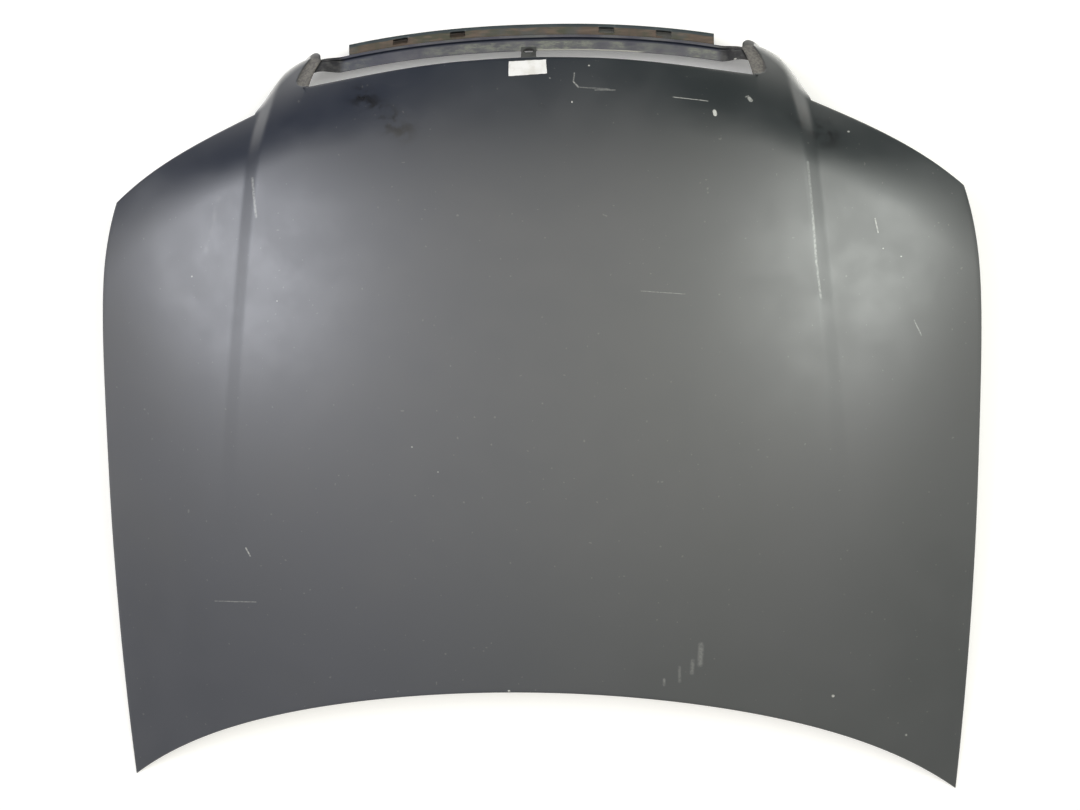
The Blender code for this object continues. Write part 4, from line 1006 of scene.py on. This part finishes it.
def carrier_section(x):
    """Outer side of the trim carrier, with the rows of points that its windows end on."""
    rear = WALL_FOOT + BAR_SHEET
    front = rear + CARRIER_WIDTH
    middle = rear + CARRIER_WIDTH / 2

    def flange_height(ahead):
        return FLANGE_TOP - FLANGE_FALL * (ahead - WALL_FOOT) / BAR_FLANGE + CARRIER_GAP

    half = WINDOW_WIDTH / 2
    top = (-half, -half / 3, half / 3, half, CARRIER_MARGIN)
    section = [(rear, flange_height(rear))]
    section += [(rear + inward, CARRIER_TOP - down) for inward, down in CARRIER_REAR_EDGE]
    section += [(middle + offset, CARRIER_TOP) for offset in top]
    section += [(front - inward, CARRIER_TOP - down) for inward, down in CARRIER_FRONT_EDGE]
    section.append((front, flange_height(front - CARRIER_SHEET)))
    return section


def build_carrier(material):
    ends = [x + side * WINDOW_LENGTH / 2 for x in WINDOW_PLACES for side in (-1, 1)]
    even = [round(BAR_STEP * step, 6) for step in range(-BAR_STEPS, BAR_STEPS + 1)]
    places = sorted(set(even + [-CARRIER_HALF, CARRIER_HALF] + ends))
    places = [x for x in places
              if x in ends or all(abs(x - end) > WINDOW_CLEARANCE for end in ends)]
    rows = sweep(carrier_section, places)
    for row, x in zip(rows, places):
        for index in CARRIER_DENTED:
            row[index].z -= CARRIER_DENT * max(noise.noise(Vector((x * 90.0, index, 7.0))), 0.0)
    bm = bmesh.new()
    loft(bm, rows)
    windows = [face for face in bm.faces if in_window(face)]
    bmesh.ops.delete(bm, geom=windows, context="FACES")
    face_up(bm)
    carrier = new_object("trim_strip", mesh_from(bm, "trim_strip", 50.0), material)
    thicken(carrier, CARRIER_SHEET)
    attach(carrier, "root")
    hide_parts("trim_carrier")


def in_window(face):
    centre = face.calc_center_median()
    across = any(abs(centre.x - x) < WINDOW_LENGTH / 2 for x in WINDOW_PLACES)
    middle = nose_line(centre.x) + WALL_FOOT + BAR_SHEET + CARRIER_WIDTH / 2
    return across and abs(centre.y - middle) < WINDOW_WIDTH / 2 and centre.z > CARRIER_TOP - 0.0005


def build_strut_shade_sheet(material):
    """A near-black sheet between the strut's folded sides, painted shade that makes its hole a dark
    pocket.
    """
    bm = bmesh.new()
    rows = []
    for share in steps(6):
        y = between(NOSE_Y - STRUT_FLOOR_REAR, NOSE_Y - STRUT_FLOOR_FRONT, share)
        height = between(STRUT_FLOOR_TOP, BAR_TOP - STRUT_FLOOR_SUNK, share)
        rows.append([Vector((STRUT_FLOOR_HALF * across, y, height))
                     for across in (-1.0, -0.5, 0.0, 0.5, 1.0)])
    loft(bm, rows)
    face_up(bm)
    floor = new_object("strut_shade_sheet", mesh_from(bm, "strut_shade_sheet"), material)
    thicken(floor, STRUT_FLOOR_SHEET, even=False)
    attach(floor, "root")


def build_label(material):
    """A thin paper label that follows the skin, with torn edges and one raised corner."""
    bm = bmesh.new()
    rear_left, rear_right, front_right, front_left = LABEL_CORNERS
    rows = []
    for along in steps(22):
        row = []
        for across in steps(48):
            rear = [between(a, b, across) for a, b in zip(rear_left, rear_right)]
            front = [between(a, b, across) for a, b in zip(front_left, front_right)]
            x, y = (between(a, b, along) for a, b in zip(rear, front))
            ragged = noise.noise(Vector((x * 160.0, y * 160.0, 1.0)))
            if along in (0.0, 1.0):
                y += LABEL_RAGGED * ragged
            if across in (0.0, 1.0):
                x += LABEL_RAGGED * ragged
            crease = LABEL_CREASE * max(noise.noise(Vector((x * 70.0, y * 110.0, 5.0))), 0.0)
            corner = LABEL_CURL * ease((across + (1.0 - along) - 1.72) / 0.28)
            row.append(on_skin(x, y, -(LABEL_LIFT + crease + corner)))
        rows.append(row)
    loft(bm, rows)
    face_up(bm)
    label = new_object("bare_label", mesh_from(bm, "bare_label"), material)
    thicken(label, LABEL_SHEET, even=False)
    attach(label, "root")


# Floor, lights and camera

FLOOR_SIZE = 40.0
FLOOR_COLOR = (0.92, 0.92, 0.91)
FLOOR_GLOW = 0.22
WORLD_COLOR = (1.02, 0.99, 0.92)

# The studio's light, between two angles in degrees: ahead it falls from its level to nothing,
# and behind and aside it falls from 1 to its level
AHEAD_ANGLES, AHEAD_LEVEL = (18.5, 39.0), 1.40
BEHIND_ANGLES, BEHIND_LEVEL = (-42.0, -4.0), 0.37
ASIDE_ANGLES, ASIDE_LEVEL = (24.0, 58.0), 0.70
WIDE_GAIN = 0.8
LOW_LEVEL = 1.2

# Panels beside the camera, as (name, place, target, color)
PANEL_SIZE = 1.1
PANEL_POWER = 18.0
PANELS = (
    ("left_panel", (-1.85, 0.67, 2.1), (-0.45, 0.25, 0.0), (0.94, 0.97, 1.07)),
    ("right_panel", (1.75, 0.62, 2.1), (0.45, 0.25, 0.0), (0.95, 1.0, 0.95)),
)


def build_floor():
    mesh = bpy.data.meshes.new("floor")
    bm = bmesh.new()
    bmesh.ops.create_grid(bm, x_segments=1, y_segments=1, size=FLOOR_SIZE)
    bm.to_mesh(mesh)
    bm.free()
    shader = material_shader("floor")
    path = shader.node("LightPath")
    seen = shader.math("MAXIMUM", path.outputs["Is Camera Ray"], path.outputs["Is Glossy Ray"])
    seen = shader.math("MAXIMUM", seen, path.outputs["Is Transmission Ray"])
    shader.feed(shader.surface.inputs["Emission Strength"], shader.times(seen, FLOOR_GLOW))
    shader.surface.inputs["Emission Color"].default_value = (1.0, 1.0, 1.0, 1.0)
    floor = new_object("floor", mesh, shader.finish(FLOOR_COLOR, 0.9))


def area_light(name, place, target, color):
    light = bpy.data.lights.new(name, "AREA")
    light.shape = "RECTANGLE"
    light.size = light.size_y = PANEL_SIZE
    light.energy = PANEL_POWER
    light.color = color
    lamp = bpy.data.objects.new(name, light)
    lamp.location = place
    lamp.rotation_euler = (Vector(target) - Vector(place)).to_track_quat("-Z", "Y").to_euler()
    bpy.context.scene.collection.objects.link(lamp)


def build_light():
    world = bpy.data.worlds.new("studio")
    shader = Shader(world)
    background = shader.tree.nodes["Background"]
    x, y, z = shader.axes(shader.node("TexCoord").outputs["Generated"])
    wide = shader.math("ADD", shader.times(shader.math("POWER", x, 2.0), WIDE_GAIN), 1.0)
    angle = shader.math("ARCSINE", shader.times(y, wide))
    ahead = shader.ramp(angle, *map(math.radians, AHEAD_ANGLES), AHEAD_LEVEL, 0.0)
    behind = shader.ramp(angle, *map(math.radians, BEHIND_ANGLES), BEHIND_LEVEL, 1.0)
    aside = shader.math("ARCSINE", shader.math("ABSOLUTE", x))
    aside = shader.ramp(aside, *map(math.radians, ASIDE_ANGLES), 1.0, ASIDE_LEVEL)
    low = shader.times(shader.ramp(z, 0.02, 0.14, LOW_LEVEL, 0.0), shader.ramp(y, 0.2, 0.6))
    level = shader.times(shader.times(ahead, behind), aside)
    level = shader.math("MAXIMUM", level, low)
    seen = shader.node("LightPath").outputs["Is Camera Ray"]
    shader.feed(background.inputs["Strength"], shader.math("MAXIMUM", level, seen))
    shader.feed(background.inputs["Color"], shader.mix(seen, WORLD_COLOR, (1.0, 1.0, 1.0)))
    bpy.context.scene.world = world
    for panel in PANELS:
        area_light(*panel)


def build_camera():
    data = bpy.data.cameras.new("camera")
    data.sensor_fit = "HORIZONTAL"
    data.sensor_width = SENSOR_WIDTH
    data.lens = FOCAL_PIXELS / PICTURE_WIDTH * SENSOR_WIDTH
    camera = bpy.data.objects.new("camera", data)
    camera.location = CAMERA_PLACE
    camera.rotation_euler = [math.radians(angle) for angle in CAMERA_TURN]
    bpy.context.scene.collection.objects.link(camera)
    bpy.context.scene.camera = camera


def dress_nodes(finishes):
    """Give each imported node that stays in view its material."""
    for name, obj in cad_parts.items():
        for start, material in finishes.items():
            if name.startswith(start):
                obj.data.materials.clear()
                obj.data.materials.append(material)


def build_scene():
    bpy.context.scene.view_settings.view_transform = "Standard"
    paint = outer_paint()
    inner = plain_paint("inner_paint", (0.11, 0.112, 0.12), 0.5)
    bar = bar_paint()
    carrier = carrier_plastic()
    black = strut_paint()
    zinc = zinc_plate()
    mastic = plain_paint("mastic", (0.035, 0.035, 0.035), 0.8)
    dress_nodes({
        "inner_frame": inner, "hinge_plate": inner, "lock_reinforcement": inner, "nose_bar": bar,
        "trim_carrier": carrier, "centre_strut": black, "striker": zinc, "hinge_nut": zinc,
        "lock_nut": zinc, "mastic": mastic,
    })
    build_skin(paint, inner)
    build_bar(bar)
    build_carrier(carrier)
    # Near-black sheet in the strut: painted shade
    build_strut_shade_sheet(plain_paint("strut_pocket_shade", (0.006, 0.006, 0.007), 0.8, dust=0.02))
    build_label(label_paper())
    build_floor()
    build_light()
    build_camera()


build_scene()
